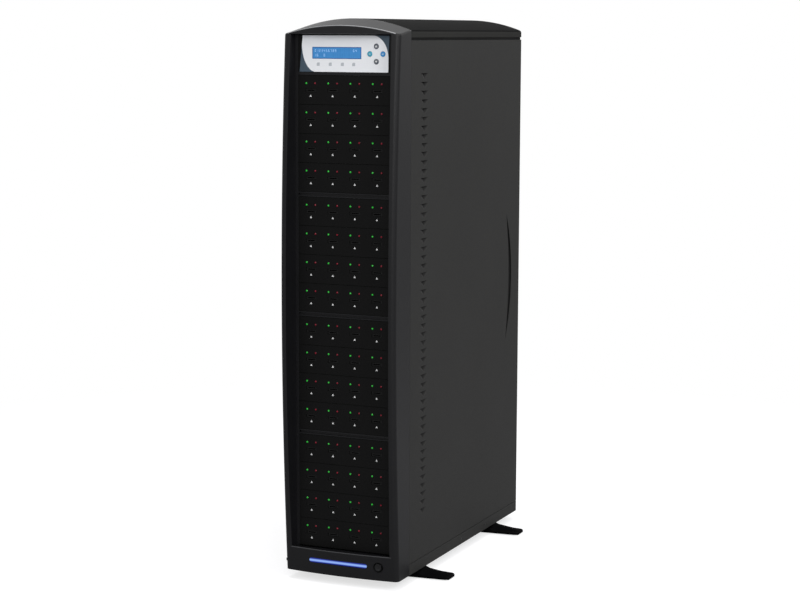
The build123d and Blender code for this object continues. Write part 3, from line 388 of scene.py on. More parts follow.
lensDome = {"radius": 1.5, "proud": 0.9, "root": 3.0, "rings": 6, "steps": 16}
rise = np.linspace(0, np.pi / 2, lensDome["rings"])
domeProfile = np.concatenate([
    [[lensDome["radius"], lensDome["root"]]],
    np.stack([lensDome["radius"] * np.cos(rise), -lensDome["proud"] * np.sin(rise)], -1)])
litGreen = lensFinish("litGreenEpoxyLens", {"core": "#25922F", "rim": "#0A4014", "glow": 0.4})
dimRed = lensFinish("dimRedEpoxyLens", {"core": "#6E0E20", "rim": "#20040A", "glow": 0.1})
greenPlaces = slotPlaces(-slotGrid["lightReach"], slotGrid["lightRise"])
redPlaces = slotPlaces(slotGrid["lightReach"], slotGrid["lightRise"])
for name, places, finish, slot, replaced in (
        ("greenLenses", greenPlaces, litGreen, "green_light", "leds_green"),
        ("redLenses", redPlaces, dimRed, "red_light", "leds_red")):
    makePiece(name, [turnedFront(domeProfile, places, panelY, lensDome["steps"])], "case", finish,
              [replaced])
# a low collar round every lens
collarProfile = [[1.55, 0.6], [1.55, -0.1], [1.75, -0.25], [2.2, -0.25], [2.45, -0.05], [2.45, 0.3]]
lensPlaces = np.concatenate([greenPlaces, redPlaces])
makePiece("lensCollars", [turnedFront(collarProfile, lensPlaces, panelY, lensDome["steps"])],
          "case", mattAbs)

# white print under each slot: an arrow head that points up to it
arrow = {"width": 3.5, "height": 3.1, "thick": 0.05}
arrowOutline = [(-arrow["width"] / 2, -arrow["height"] / 2),
                (arrow["width"] / 2, -arrow["height"] / 2), (0, arrow["height"] / 2)]
whiteInk = grainedFinish("whiteScreenInk", {
    "colour": "#C4C5C5", "drift": "#D2D2D2", "driftMm": 1, "grainMm": 0.2, "rough": 0.55,
    "roughSpread": 0.05, "bump": 0.1, "bumpMm": 0.01, "ior": 1.5})
makePiece("slotArrows", [flatPrism(arrowOutline, slotPlaces(0, slotGrid["arrowRise"]),
                                   panelY - arrow["thick"], arrow["thick"])],
          "case", whiteInk)
print("bay panels dressed")


# a plate of cells between x and z lines; a cell with a hole is a ring of quads from its edges to
# the hole's outline, and every outline gets a wall as deep as the plate
def holedPlate(xLines, zLines, holes, frontY, depth, steps=12):
    surfaces = []
    for left, rightEdge in zip(xLines[:-1], xLines[1:]):
        for low, high in zip(zLines[:-1], zLines[1:]):
            t = np.linspace(0, 1, steps, endpoint=False)
            edge = np.concatenate([
                np.stack([left + (rightEdge - left) * t, np.full(steps, low)], -1),
                np.stack([np.full(steps, rightEdge), low + (high - low) * t], -1),
                np.stack([rightEdge + (left - rightEdge) * t, np.full(steps, high)], -1),
                np.stack([np.full(steps, left), high + (low - high) * t], -1)])
            inner = [h for h in holes if left < h[0] < rightEdge and low < h[1] < high]
            if inner:
                holeX, holeZ, halfX, halfZ = inner[0][:4]
                if len(inner[0]) == 5:  # round hole
                    angle = np.arctan2(edge[:, 1] - holeZ, edge[:, 0] - holeX)
                    rim = np.stack([holeX + halfX * np.cos(angle), holeZ + halfZ * np.sin(angle)], -1)
                else:
                    middle = np.array([(left + rightEdge) / 2, (low + high) / 2])
                    half = np.array([(rightEdge - left) / 2, (high - low) / 2])
                    rim = np.array([holeX, holeZ]) + (edge - middle) / half * (halfX, halfZ)
            else:
                rim = np.broadcast_to([(left + rightEdge) / 2, (low + high) / 2], edge.shape)
            rings = np.stack([edge, edge, rim, rim, edge])
            depths = np.array([depth, 0, 0, depth, depth])[:, None] * np.ones(len(edge))
            ring = np.stack([rings[..., 0], frontY + depths, rings[..., 1]], -1)
            parts = [ring[1:3], ring[3:5]]  # front and back
            if inner:
                parts.append(ring[2:4])  # the hole's wall
            surfaces += [gridSurface(part, wrapColumns=True) for part in parts]
    x0, x1, z0, z1 = xLines[0], xLines[-1], zLines[0], zLines[-1]
    rim = np.array([[x0, z0], [x1, z0], [x1, z1], [x0, z1]], float)
    wall = np.stack([np.stack([rim[:, 0], np.full(4, y), rim[:, 1]], -1)
                     for y in (frontY, frontY + depth)])
    return surfaces + [gridSurface(wall, wrapColumns=True)]


# Keypad overlay: printed film, light grey over slate, the light field cut by two quarter ellipses
plateLow, plateHigh = boxMm("lcd_faceplate")
windowLow, windowHigh = boxMm("lcd_window")
windowX, windowZ = (windowLow[0] + windowHigh[0]) / 2, (windowLow[2] + windowHigh[2]) / 2
overlay = {"thick": 0.3, "edge": 0.4, "windowHalf": (39.2, 8.5), "cellHalf": (40, 10), "keyHole": 4.05,
           "light": "#DADFE4", "lighter": "#E2E1E3", "slate": "#3E4C58", "grainMm": 0.4,
           "lowCut": (6.2, 23.0, 40.0), "highCut": (2.4, 25.6, 32.6), "cutSoft": 0.005,
           "leftLean": (1.85, 7.1), "rightLean": (-2.2, -0.5)}
cellX, cellZ = overlay["cellHalf"]
keyNames = ("key_up", "key_down", "key_left", "key_right")
keyPlaces = {}
for name in keyNames:
    low, high = boxMm(name)
    keyPlaces[name] = ((low[0] + high[0]) / 2, (low[2] + high[2]) / 2)
keyMidX, keyMidZ = keyPlaces["key_up"][0], keyPlaces["key_left"][1]
reachX = keyPlaces["key_right"][0] - keyMidX
reachZ = keyPlaces["key_up"][1] - keyMidZ
# the holes' cells are as wide and as high as the keys are apart
xLines = [plateLow[0] + overlay["edge"], keyMidX - 1.5 * reachX, keyMidX - reachX / 2,
          keyMidX + reachX / 2, keyMidX + 1.5 * reachX, plateHigh[0] - overlay["edge"]]
zLines = [plateLow[2] + overlay["edge"], keyMidZ - 1.5 * reachZ, keyMidZ - reachZ / 2,
          keyMidZ + reachZ / 2, keyMidZ + 1.5 * reachZ, plateHigh[2] - overlay["edge"]]
keyHoles = [(*keyPlaces[name], overlay["keyHole"], overlay["keyHole"], "round") for name in keyNames]


# a point is in a corner's slate field where its scaled distance from the cut's centre passes 1
def overlayFinish():
    material, tree, place = startMaterial("printedPolyesterFilm")
    masks = []
    for corner, (inset, *cut), sign in (
            (plateLow, overlay["lowCut"], 1), (plateHigh, overlay["highCut"], -1)):
        centre = ((corner[0] + sign * (inset + cut[0])) * mm, 0, (corner[2] + sign * cut[1]) * mm)
        away = vectorSocket(tree, "SUBTRACT", centre, place)
        scaled = vectorSocket(tree, "MULTIPLY", away, (sign / (cut[0] * mm), 0, sign / (cut[1] * mm)))
        size = vectorSocket(tree, "LENGTH", vectorSocket(tree, "MAXIMUM", scaled, (0, 0, 0)))
        masks.append(mapRange(tree, size, 1 - overlay["cutSoft"], 1 + overlay["cutSoft"], 1, 0))
    grain = addNode(tree, "ShaderNodeTexNoise", {
        "Vector": place, "Scale": 1 / (overlay["grainMm"] * mm), "Detail": 2.0})
    light = mixColours(tree, grain.outputs[0], overlay["light"], overlay["lighter"])
    both = mathSocket(tree, "MULTIPLY", *masks)
    bump = addNode(tree, "ShaderNodeBump", {
        "Height": grain.outputs[0], "Strength": 0.08, "Distance": 0.02 * mm})
    return endMaterial(material, {
        "Base Color": mixColours(tree, both, overlay["slate"], light), "Roughness": 0.33,
        "IOR": 1.57, "Normal": bump.outputs[0], "Specular IOR Level": 0.2})


filmFrontY = plateLow[1] - overlay["thick"]
zLinesWindow = [zLines[0], windowZ - cellZ, windowZ + cellZ, zLines[-1]]
windowHole = (windowX, windowZ, *overlay["windowHalf"])
film = holedPlate([xLines[0], windowX - cellX, windowX + cellX, xLines[1]], zLinesWindow, [windowHole],
                  filmFrontY, overlay["thick"])
film += holedPlate(xLines[1:], zLines, keyHoles, filmFrontY, overlay["thick"])
# both ends lean to the right at the top: x shifts by an amount that grows with height, and fades
# from the end towards the window or the keys
leans = ((windowX - cellX, xLines[0], overlay["leftLean"]),
         (xLines[4], xLines[-1], overlay["rightLean"]))
for points, _ in film:
    rise = (points[:, 2] - zLines[0]) / (zLines[-1] - zLines[0])
    for fixed, end, (low, high) in leans:
        fade = np.clip((points[:, 0] - fixed) / (end - fixed), 0, 1)
        points[:, 0] += fade * (low + (high - low) * rise)
makePiece("keypadOverlay", film, "case", overlayFinish())

# four small pictograms of a card with a cut corner, printed under the window
cardMarks = {"x": (-40.6, -21.3, -2.0, 16.0), "z": 767.0, "thick": 0.04,
             "outline": [(-2.4, -2.4), (2.4, -2.4), (2.4, 2.4), (-1.0, 2.4), (-2.4, 1.1)]}
greyInk = grainedFinish("greyScreenInk", {
    "colour": "#A4A9AF", "drift": "#B0B5BA", "driftMm": 1, "grainMm": 0.2, "rough": 0.5,
    "roughSpread": 0.05, "bump": 0.1, "bumpMm": 0.01, "ior": 1.5})
markPlaces = [(x, cardMarks["z"]) for x in cardMarks["x"]]
makePiece("cardMarks", [flatPrism(cardMarks["outline"], markPlaces, filmFrontY - cardMarks["thick"],
                                  cardMarks["thick"])], "case", greyInk)

# Display: clear acrylic over a backlit blue field, with the faint grid of its character cells. Its
# front fills the film's window and lies on the plate, and a block behind it goes through the plate
display = {"border": 1.1, "borderSoft": 0.3, "borderColour": "#264F82", "front": 0.22, "play": 0.1,
           "seat": 0.02, "block": (37.9, 7.3), "depth": 3.0, "cell": (3.6, 5.9), "cellGap": 0.22}
halfX, halfZ = overlay["windowHalf"]


def barOutline(halfWidth, halfHeight):
    return [(-halfWidth, -halfHeight), (halfWidth, -halfHeight), (halfWidth, halfHeight),
            (-halfWidth, halfHeight)]


def displayFinish():
    material, tree, place = startMaterial("backlitDisplayAcrylic")
    centred = addNode(tree, "ShaderNodeMapping", {
        "Vector": place, "Location": (-windowX * mm, windowZ * mm, 0),
        "Rotation": (math.radians(90), 0, 0)})
    cellWide, cellHigh = display["cell"]
    cells = addNode(tree, "ShaderNodeTexBrick", {
        "Vector": centred.outputs[0], "Scale": 1.0, "Mortar Size": display["cellGap"] * mm,
        "Mortar Smooth": 0.3, "Brick Width": cellWide * mm, "Row Height": cellHigh * mm,
        "Color1": toLinear("#3571A8"), "Color2": toLinear("#3875AC"), "Mortar": toLinear("#3B7AB2")},
        offset=0.0)
    # the frame of the glass shows as a darker border
    inside = vectorSocket(tree, "ABSOLUTE", centred.outputs[0])
    clearHalf = ((halfX - display["border"]) * mm, (halfZ - display["border"]) * mm, 1)
    past = vectorSocket(tree, "SUBTRACT", inside, clearHalf)
    worst = mathSocket(tree, "MAXIMUM", axisSocket(tree, past, 0), axisSocket(tree, past, 1))
    border = mapRange(tree, worst, -display["borderSoft"] * mm, display["borderSoft"] * mm)
    shade = mixColours(tree, border, cells.outputs[0], display["borderColour"])
    return endMaterial(material, {
        "Base Color": shade, "Roughness": 0.12, "IOR": 1.49, "Specular IOR Level": 0.2,
        "Emission Color": shade, "Emission Strength": 0.34})


displayFront = plateLow[1] - display["front"]
displayParts = [
    flatPrism(barOutline(halfX - display["play"], halfZ - display["play"]), [(windowX, windowZ)],
              displayFront, display["front"] - display["seat"]),
    flatPrism(barOutline(*display["block"]), [(windowX, windowZ)], plateLow[1] + display["seat"],
              display["depth"])]
makePiece("displayWindow", displayParts, "case", displayFinish(), ["lcd_window"])

# plain digits on it: each is up to seven bars, flat on the display
digits = {"pitch": 3.6, "lastPlace": 19, "rows": (3.2, -3.3), "bar": 0.24, "reach": 0.75, "half": 1.6,
          "thick": 0.04,
          "texts": ((0, 0, "0123456789"), (0, 17, "64"), (1, 0, "16"), (1, 4, "0")),
          "bars": {"0": "abcdef", "1": "bc", "2": "abged", "3": "abgcd", "4": "fgbc", "5": "afgcd",
                   "6": "afgedc", "7": "abc", "8": "abcdefg", "9": "abcdfg"}}
flatBars, tallBars = [], []
for row, start, text in digits["texts"]:
    for count, digit in enumerate(text):
        x = windowX + (start + count - digits["lastPlace"] / 2) * digits["pitch"]
        z = windowZ + digits["rows"][row]
        for bar in digits["bars"][digit]:
            if bar in "agd":
                flatBars.append((x, z + {"a": 1, "g": 0, "d": -1}[bar] * digits["half"]))
            else:
                tallBars.append((x + (1 if bar in "bc" else -1) * digits["reach"],
                                 z + (0.5 if bar in "bf" else -0.5) * digits["half"]))
litInk = lensFinish("litDisplayCharacters", {"core": "#9CC4EC", "rim": "#8AB8E6", "glow": 0.15})
digitBars = [flatPrism(outline, places, displayFront - digits["thick"], digits["thick"])
             for outline, places in (
                 (barOutline(digits["reach"], digits["bar"]), flatBars),
                 (barOutline(digits["bar"], digits["half"] / 2), tallBars))]
makePiece("displayDigits", digitBars, "case", litInk)

# Keys: low domed caps with a rounded rim, white arrow heads on two and dashes on the others
keyCap = {"radius": 3.75, "flange": 4.6, "flangeThick": 0.8, "depth": 3.5, "steps": 40,
          "markProud": 1.14, "markThick": 0.1, "head": [(-1.9, -1.4), (1.9, -1.4), (0, 1.9)],
          "dash": [(-0.5, -1.4), (0.5, -1.4), (0.5, 1.4), (-0.5, 1.4)]}
keyLooks = {
    "key_up": {"slot": "key_dark", "turn": 0, "mark": "head", "colours": ("#4B5058", "#5A6068")},
    "key_down": {"slot": "key_dark", "turn": 180, "mark": "head", "colours": ("#4B5058", "#5A6068")},
    "key_left": {"slot": "key_teal", "turn": 90, "mark": "dash", "colours": ("#2E8DA8", "#3A9BB4")},
    "key_right": {"slot": "key_blue", "turn": -90, "mark": "dash", "colours": ("#2C7DBB", "#3A8AC6")},
}
flangeFront = keyCap["depth"] - keyCap["flangeThick"]
capProfile = [[keyCap["flange"], keyCap["depth"]], [keyCap["flange"], flangeFront],
              [keyCap["radius"], flangeFront], [keyCap["radius"], -0.5], [3.6, -0.85],
              [3.3, -1.0], [2.4, -1.06], [1.2, -1.09], [0.0, -1.1]]
for name, look in keyLooks.items():
    colour, drift = look["colours"]
    finish = grainedFinish("silicone" + name.title().replace("_", ""), {
        "colour": colour, "drift": drift, "driftMm": 3, "grainMm": 0.3, "rough": 0.4,
        "roughSpread": 0.05, "bump": 0.1, "bumpMm": 0.02, "ior": 1.43})
    makePiece(name + "Cap", [turnedFront(capProfile, [keyPlaces[name]], plateLow[1], keyCap["steps"])],
              name + "_body", finish, [name])
    angle = math.radians(look["turn"])
    turned = np.array(keyCap[look["mark"]]) @ np.array([
        [math.cos(angle), math.sin(angle)], [-math.sin(angle), math.cos(angle)]])
    makePiece(name + "Arrow", [flatPrism(turned, [keyPlaces[name]], plateLow[1] - keyCap["markProud"],
                                         keyCap["markThick"])],
              name + "_body", whiteInk)
print("keypad panel dressed")

# The bowed front, worked out as in the CAD: arcs across the width and over the height
bow = {"halfWidth": 92.1, "sideBow": 6.0, "halfHeight": 400.8, "frontBow": 15.4, "middle": 414.8,
       "setBack": 4.795}
sideRadius = (bow["halfWidth"] ** 2 + bow["sideBow"] ** 2) / (2 * bow["sideBow"])
frontRadius = (bow["halfHeight"] ** 2 + bow["frontBow"] ** 2) / (2 * bow["frontBow"])
bowAxisY = boxMm("front_bezel")[0][1] - bow["setBack"] + frontRadius


def frontSurface(x, z):
    plan = sideRadius - np.sqrt(sideRadius ** 2 - x ** 2)
    return bowAxisY - np.sqrt((frontRadius - plan) ** 2 - (z - bow["middle"]) ** 2)


# Light bar: a rounded bar that follows the bow; rings shrink from its outline to its middle line,
# and its crown falls with the square of the way out
lightBar = {"length": 94.0, "height": 6.6, "crown": 0.5, "x": -3.0, "z": 34.3, "depth": 6.0,
            "core": 0.9, "edge": 2.3, "steps": 64}
turn = np.linspace(0, 2 * np.pi, lightBar["steps"], endpoint=False)
radius = lightBar["height"] / 2
spine = np.sign(np.cos(turn)) * (lightBar["length"] / 2 - radius)
shrink = np.array([1.0, 1.0, 0.85, 0.65, 0.4, 0.15, 0.0])[:, None]
barX = lightBar["x"] + spine + shrink * radius * np.cos(turn)
barZ = lightBar["z"] + shrink * radius * np.sin(turn)
barY = frontSurface(barX, barZ) - lightBar["crown"] * (1 - shrink ** 2)
barY[0] += lightBar["depth"]


# brightest along the middle line, deep blue towards the upper and lower edges
def glowFinish():
    material, tree, place = startMaterial("edgeLitAcrylic")
    off = mathSocket(tree, "SUBTRACT", axisSocket(tree, place, 2), lightBar["z"] * mm)
    away = mathSocket(tree, "ABSOLUTE", off)
    outer = mapRange(tree, away, lightBar["core"] * mm, lightBar["edge"] * mm)
    return endMaterial(material, {
        "Base Color": toLinear("#0E1436"), "Roughness": 0.2, "IOR": 1.49, "Specular IOR Level": 0.2,
        "Emission Color": mixColours(tree, outer, "#96B8FF", "#12248F"), "Emission Strength": 0.9})


makePiece("glowingBar", [gridSurface(np.stack([barX, barY, barZ], -1), wrapColumns=True)], "case",
          glowFinish(), ["light_bar"])

# Power button: shallow dish in a rounded ring; the profiles are (radius, depth)
power = {"x": 61.9, "z": 34.3, "steps": 64}
powerPlace = [(power["x"], power["z"])]
powerY = float(frontSurface(np.array(power["x"]), np.array(power["z"])))
ringProfile = [[7.5, 4.6], [7.5, -0.3], [7.3, -0.65], [6.9, -0.8], [6.4, -0.75], [6.0, -0.45],
               [5.85, 0.2], [5.85, 5.6], [9.4, 5.6], [9.4, 4.6], [7.5, 4.6]]
makePiece("powerRing", [turnedFront(ringProfile, powerPlace, powerY, power["steps"])],
          "case", ringAbs, ["power_button_ring"])
buttonProfile = [[6.9, 6.9], [6.9, 5.95], [5.5, 5.95], [5.5, -0.4], [5.3, -0.7], [4.9, -0.8],
                 [4.3, -0.7], [3.0, -0.45], [1.5, -0.3], [0.0, -0.25]]
makePiece("powerDish", [turnedFront(buttonProfile, powerPlace, powerY, power["steps"])],
          "power_button_body", glossAbs, ["power_button"])
print("chin dressed")

# Feet: outline is the hull of the root's circle and a narrower tip; crest and edge are (distance
# from the pivot, height), and the height falls from the crest to the edge in a smooth step
foot = {"root": 23.0, "reach": 75.0, "tip": 15.5, "low": 1.6, "corner": 7.0,
        "crest": [(22.0, 13.7), (72.0, 6.8), (75.0, 4.4)],
        "edge": [(16.0, 12.7), (36.0, 5.6), (72.0, 5.2), (75.0, 4.0)],
        "fallStart": 0.22, "fallWide": 0.5, "rimStart": 0.9, "rimWide": 0.1, "rimDrop": 0.5,
        "rootRows": 14, "middleRows": 30, "tipRows": 9, "acrossSteps": 41}


def smoothStep(value):
    value = np.clip(value, 0, 1)
    return value * value * (3 - 2 * value)


def footSurfaces(side, centreX, centreY):
    cornerStart = foot["reach"] - foot["corner"]
    along = np.concatenate([
        -foot["root"] * np.cos(np.linspace(0, np.pi / 2, foot["rootRows"]))[:-1],
        np.linspace(0, cornerStart, foot["middleRows"])[:-1],
        cornerStart + foot["corner"] * np.sin(np.linspace(0, np.pi / 2, foot["tipRows"]))])
    straight = foot["root"] + (foot["tip"] - foot["root"]) * np.clip(along, 0, None) / foot["reach"]
    roundRoot = np.sqrt(np.clip(foot["root"] ** 2 - np.clip(along, None, 0) ** 2, 0, None))
    toTip = np.clip(along - cornerStart, 0, None)
    pulled = foot["corner"] - np.sqrt(np.clip(foot["corner"] ** 2 - toTip ** 2, 0, None))
    half = np.where(along < 0, roundRoot, straight - pulled)
    across = np.sin(np.linspace(-np.pi / 2, np.pi / 2, foot["acrossSteps"]))
    crest = np.interp(along, *np.transpose(foot["crest"]))
    edge = np.interp(along, *np.transpose(foot["edge"]))
    out = np.abs(across)[None]
    fall = smoothStep((out - foot["fallStart"]) / foot["fallWide"])
    height = crest[:, None] + (np.minimum(edge, crest)[:, None] - crest[:, None]) * fall
    height = height - foot["rimDrop"] * np.clip((out - foot["rimStart"]) / foot["rimWide"], 0, 1) ** 2
    x = np.broadcast_to(along[:, None], height.shape)
    y = half[:, None] * across[None]
    top = np.stack([x, y, height], -1)
    under = np.stack([x, y, np.full_like(height, foot["low"])], -1)
    wall = np.stack([top[:, [0, -1]], under[:, [0, -1]]])
    parts = [top, under, wall[:, :, 0], wall[:, :, 1], np.stack([top[-1], under[-1]]),
             np.stack([top[0], under[0]])]
    turnAxis = np.array([side, side, 1.0])
    return [gridSurface(part * turnAxis + (centreX, centreY, 0)) for part in parts]


for end in ("front", "rear"):
    for side, name in ((-1, "left"), (1, "right")):
        low, high = boxMm(f"foot_{end}_{name}")
        centreX = low[0] + foot["root"] if side > 0 else high[0] - foot["root"]
        makePiece(f"{end}{name.title()}Foot", footSurfaces(side, centreX, (low[1] + high[1]) / 2),
                  f"foot_{end[0]}{name[0]}", mattPolypropylene, [f"foot_{end}_{name}"])
print("feet made")

# Rounded moulded edges of the bezel that catch the light: a small round bead sits in the edge and
# stands a hair proud of both faces, lighter than the bezel as a painted highlight. Its path follows the
# edge, and its section is a circle.
bead = {"radius": 0.9, "sink": 0.76, "wide": 82.2, "low": 51.3, "lipPoints": 60,
        "seamRadius": 0.5, "seamInset": 0.4, "seamPoints": 80}
lipHighlightAbs = grainedFinish("glossyLipHighlightAbs", {
    "colour": "#242427", "drift": "#2C2C2F", "driftMm": 40, "grainMm": 0.5, "rough": 0.3,
    "roughSpread": 0.04, "bump": 0.1, "bumpMm": 0.03, "ior": 1.53, "specular": 0.5})


def beadAlong(path, radius, steps=8):  # path (n, 3), running across: the section lies in y and z
    turn = np.linspace(0, 2 * np.pi, steps, endpoint=False)
    ring = radius * np.stack([0 * turn, np.cos(turn), np.sin(turn)], -1)
    rings = np.concatenate([path[:1] + 0 * ring[None], path[:, None, :] + ring[None],
                            path[-1:] + 0 * ring[None]])
    return gridSurface(rings, wrapColumns=True)


lipX = np.linspace(-bead["wide"], bead["wide"], bead["lipPoints"])
lipZ = np.full_like(lipX, bead["low"] - bead["sink"])
lipPath = np.stack([lipX, frontSurface(lipX, lipZ) + bead["sink"], lipZ], -1)
makePiece("chinLip", [beadAlong(lipPath, bead["radius"])], "case", lipHighlightAbs)

# the seam between the bezel and the arched cover
coverLow, coverHigh = boxMm("top_cover")
archRise = 17.2
archRadius = (bow["halfWidth"] ** 2 + archRise ** 2) / (2 * archRise)
archReach = bow["halfWidth"] - bead["seamInset"]
archX = np.linspace(-archReach, archReach, bead["seamPoints"])
archZ = coverHigh[2] - archRadius + np.sqrt((archRadius - bead["seamRadius"]) ** 2 - archX ** 2)
archPath = np.stack([archX, np.full_like(archX, coverLow[1] - bead["seamRadius"]), archZ], -1)

# the brow's front edge: the arched top, z = crown - R + sqrt(R^2 - x^2), falls forwards by one
# slope at the crown and by another at the ends, and meets the bowed front
brow = {"crownSlope": 12.0, "endSlope": 8.0, "reach": 86.0, "radius": 1.2, "inside": 1.75,
        "guesses": 6, "points": 90, "steps": 16}
browX = np.linspace(-brow["reach"], brow["reach"], brow["points"])
browZ = np.full_like(browX, coverHigh[2])
for guess in range(brow["guesses"]):  # the depth at a guessed height gives a better height
    browY = frontSurface(browX, browZ)
    ahead = coverLow[1] - browY
    crown = coverHigh[2] - ahead * math.tan(math.radians(brow["crownSlope"]))
    ends = coverHigh[2] - archRise - ahead * math.tan(math.radians(brow["endSlope"]))
    browRadius = (bow["halfWidth"] ** 2 + (crown - ends) ** 2) / (2 * (crown - ends))
    browZ = crown - browRadius + np.sqrt(browRadius ** 2 - browX ** 2)
lean = math.radians(brow["crownSlope"])
outward = np.stack([browX / browRadius, np.full_like(browX, -1 - math.sin(lean)),
                    np.full_like(browX, math.cos(lean))], -1)
outward /= np.linalg.norm(outward, axis=1)[:, None]
browPath = np.stack([browX, browY, browZ], -1) - brow["inside"] * outward
# light grey beads along the seam and the brow's front edge: painted highlights
seamAndBrowHighlight = grainedFinish("lightGreyHighlightAbs", {
    "colour": "#737476", "drift": "#848587", "driftMm": 18, "grainMm": 0.5, "rough": 0.3,
    "roughSpread": 0.05, "bump": 0.1, "bumpMm": 0.03, "ior": 1.53, "specular": 0.5})
browEdges = [beadAlong(archPath, bead["seamRadius"]),
             beadAlong(browPath, brow["radius"], brow["steps"])]
makePiece("browEdges", browEdges, "case", seamAndBrowHighlight)

# The narrow front faces of the pillars, on the exact bow: a thin skin from the leaning inner edge
# to the outer round and along it: x = centre + r sin(a), y = centre - r cos(a). The inner edge is
# at x = root + (y of the bay panels - y) tan(lean).
pillar = {"root": 78.0, "round": 7.0, "lean": 10.0, "low": 14.6, "high": 806.0, "proud": 0.004,
          "thick": 0.3, "lastAngle": 80, "faceWide": 4, "guesses": 6, "rows": 80, "firstShare": 0.01,
          "faceSteps": 6, "roundSteps": 12}
roundX = bow["halfWidth"] - pillar["round"]
firstAngle = math.asin(roundX / (sideRadius - pillar["round"]))
outerX = roundX + pillar["round"] * math.sin(firstAngle)
skinZ = np.linspace(pillar["low"], pillar["high"], pillar["rows"])
innerX = np.full_like(skinZ, outerX - pillar["faceWide"])
innerLean = math.tan(math.radians(pillar["lean"]))
for guess in range(pillar["guesses"]):  # the depth at a guessed x gives a better x
    innerX = pillar["root"] + (panelY - frontSurface(innerX, skinZ)) * innerLean
share = np.linspace(pillar["firstShare"], 1, pillar["faceSteps"])
skinX = innerX[:, None] + share * (outerX - innerX[:, None])
skinFront = frontSurface(skinX, skinZ[:, None]) - pillar["proud"]
angles = np.linspace(firstAngle, math.radians(pillar["lastAngle"]), pillar["roundSteps"])[1:]
turned = skinFront[:, -1:] + pillar["round"] * (math.cos(firstAngle) - np.cos(angles))
skinX = np.concatenate([skinX, roundX + pillar["round"] * np.sin(angles) + 0 * turned], 1)
skinFront = np.concatenate([skinFront, turned], 1)
skins = []
for side in (-1, 1):
    ring = np.stack([np.concatenate([side * skinX, side * skinX[:, ::-1]], 1),
                     np.concatenate([skinFront, skinFront[:, ::-1] + pillar["thick"]], 1),
                     np.broadcast_to(skinZ[:, None], (len(skinZ), 2 * skinX.shape[1]))], -1)
    capped = np.concatenate([ring[:1].mean(1, keepdims=True) + 0 * ring[:1], ring,
                             ring[-1:].mean(1, keepdims=True) + 0 * ring[-1:]])
    skins.append(gridSurface(capped, wrapColumns=True))
makePiece("pillarFaces", skins, "case", satinAbs)

# Thumb screws: a knurled head with rounded rims on a plain shank. The radius along the depth is a
# profile, and the head's is notched by a cosine of the angle.
thumb = {"knurl": 0.25, "teeth": 16, "length": 8.0, "shank": 1.65, "tipTaper": (0.4, 0.6), "steps": 96,
         "shankSteps": 20, "profile": [(0.0, 0.0), (2.9, 0.0), (3.2, 0.15), (3.7, 0.7), (3.7, 6.6),
                                       (3.3, 7.4), (2.8, 7.6), (2.2, 7.6), (1.9, 7.2), (0.0, 7.2)],
         "knurled": (3, 4)}


def knurledScrew(x, z, seatY, tipY):
    profile = np.array(thumb["profile"])
    turn = np.linspace(0, 2 * np.pi, thumb["steps"], endpoint=False)
    notch = np.zeros((len(profile), 1))
    notch[list(thumb["knurled"])] = thumb["knurl"]
    radius = profile[:, :1] + notch * np.cos(thumb["teeth"] * turn)
    head = np.stack([x + radius * np.cos(turn), seatY + profile[:, 1:] + 0 * turn,
                     z + radius * np.sin(turn)], -1)
    narrower, taperLength = thumb["tipTaper"]
    shank = [[0.0, tipY], [thumb["shank"] - narrower, tipY], [thumb["shank"], tipY + taperLength],
             [thumb["shank"], seatY], [0.0, seatY]]
    return [gridSurface(head, wrapColumns=True), turnedFront(shank, [(x, z)], 0, thumb["shankSteps"])]


for side in ("left", "right"):
    node = f"thumb_screws_{side}"
    low, high = boxMm(node)
    middle, reachUp = (low[0] + high[0]) / 2, (high[0] - low[0]) / 2
    screws = [surface for z in (low[2] + reachUp, high[2] - reachUp)
              for surface in knurledScrew(middle, z, high[1] - thumb["length"], low[1])]
    makePiece(f"{side}ThumbScrews", screws, f"{side}_panel", blackenedSteel, [node])

# Pan head screws: of the power supply and the exhaust fan at the rear, of the base pan at the sides
screwHead = {"profile": [(0.0, 0.5), (0.7, 0.5), (0.9, 1.4), (1.3, 1.5), (2.2, 1.3), (2.7, 0.8),
                         (2.9, 0.0)],
             "high": 1.5, "psuInset": 3.2, "fanInset": 4.3, "baseY": (2.7, 105.7), "baseZ": 22.5,
             "baseShare": 0.75, "baseProud": 0.35, "steps": 24}


def cornerPlaces(node, inset):  # x, z of the four corners of a node's box, drawn in
    low, high = boxMm(node)
    return [(x, z) for x in (low[0] + inset, high[0] - inset)
            for z in (low[2] + inset, high[2] - inset)]


rearY = boxMm("rear_panel")[1][1]
screwPlaces = cornerPlaces("power_supply", screwHead["psuInset"])
screwPlaces += cornerPlaces("exhaust_fan_frame", screwHead["fanInset"])
rearScrews = turnedFront(screwHead["profile"], screwPlaces, rearY, screwHead["steps"])
turn = np.linspace(0, 2 * np.pi, screwHead["steps"], endpoint=False)
baseScrews = []
for side in (-1, 1):
    for centreY in screwHead["baseY"]:
        profile = np.array(screwHead["profile"]) * (
            screwHead["baseShare"], screwHead["baseProud"] / screwHead["high"])
        sideX = side * (bow["halfWidth"] + profile[:, 1:]) + 0 * turn
        baseScrews.append(gridSurface(np.stack([
            sideX, centreY + profile[:, :1] * np.cos(turn),
            screwHead["baseZ"] + profile[:, :1] * np.sin(turn)], -1), wrapColumns=True))
makePiece("panHeadScrews", [rearScrews] + baseScrews, "case", blackenedSteel)
print("edges and screws made")

# Floor, backdrop light and lamps
studio = {"reach": 60, "nearTo": 0.5, "farFrom": 1.5, "paper": "#AEAEB0", "lift": 0.68,
          "fillLight": 0.5, "aim": (0, 0, 0.4)}


def mixShaders(tree, factor, first, second):
    return addNode(tree, "ShaderNodeMixShader", {0: factor, 1: first.outputs[0], 2: second.outputs[0]})


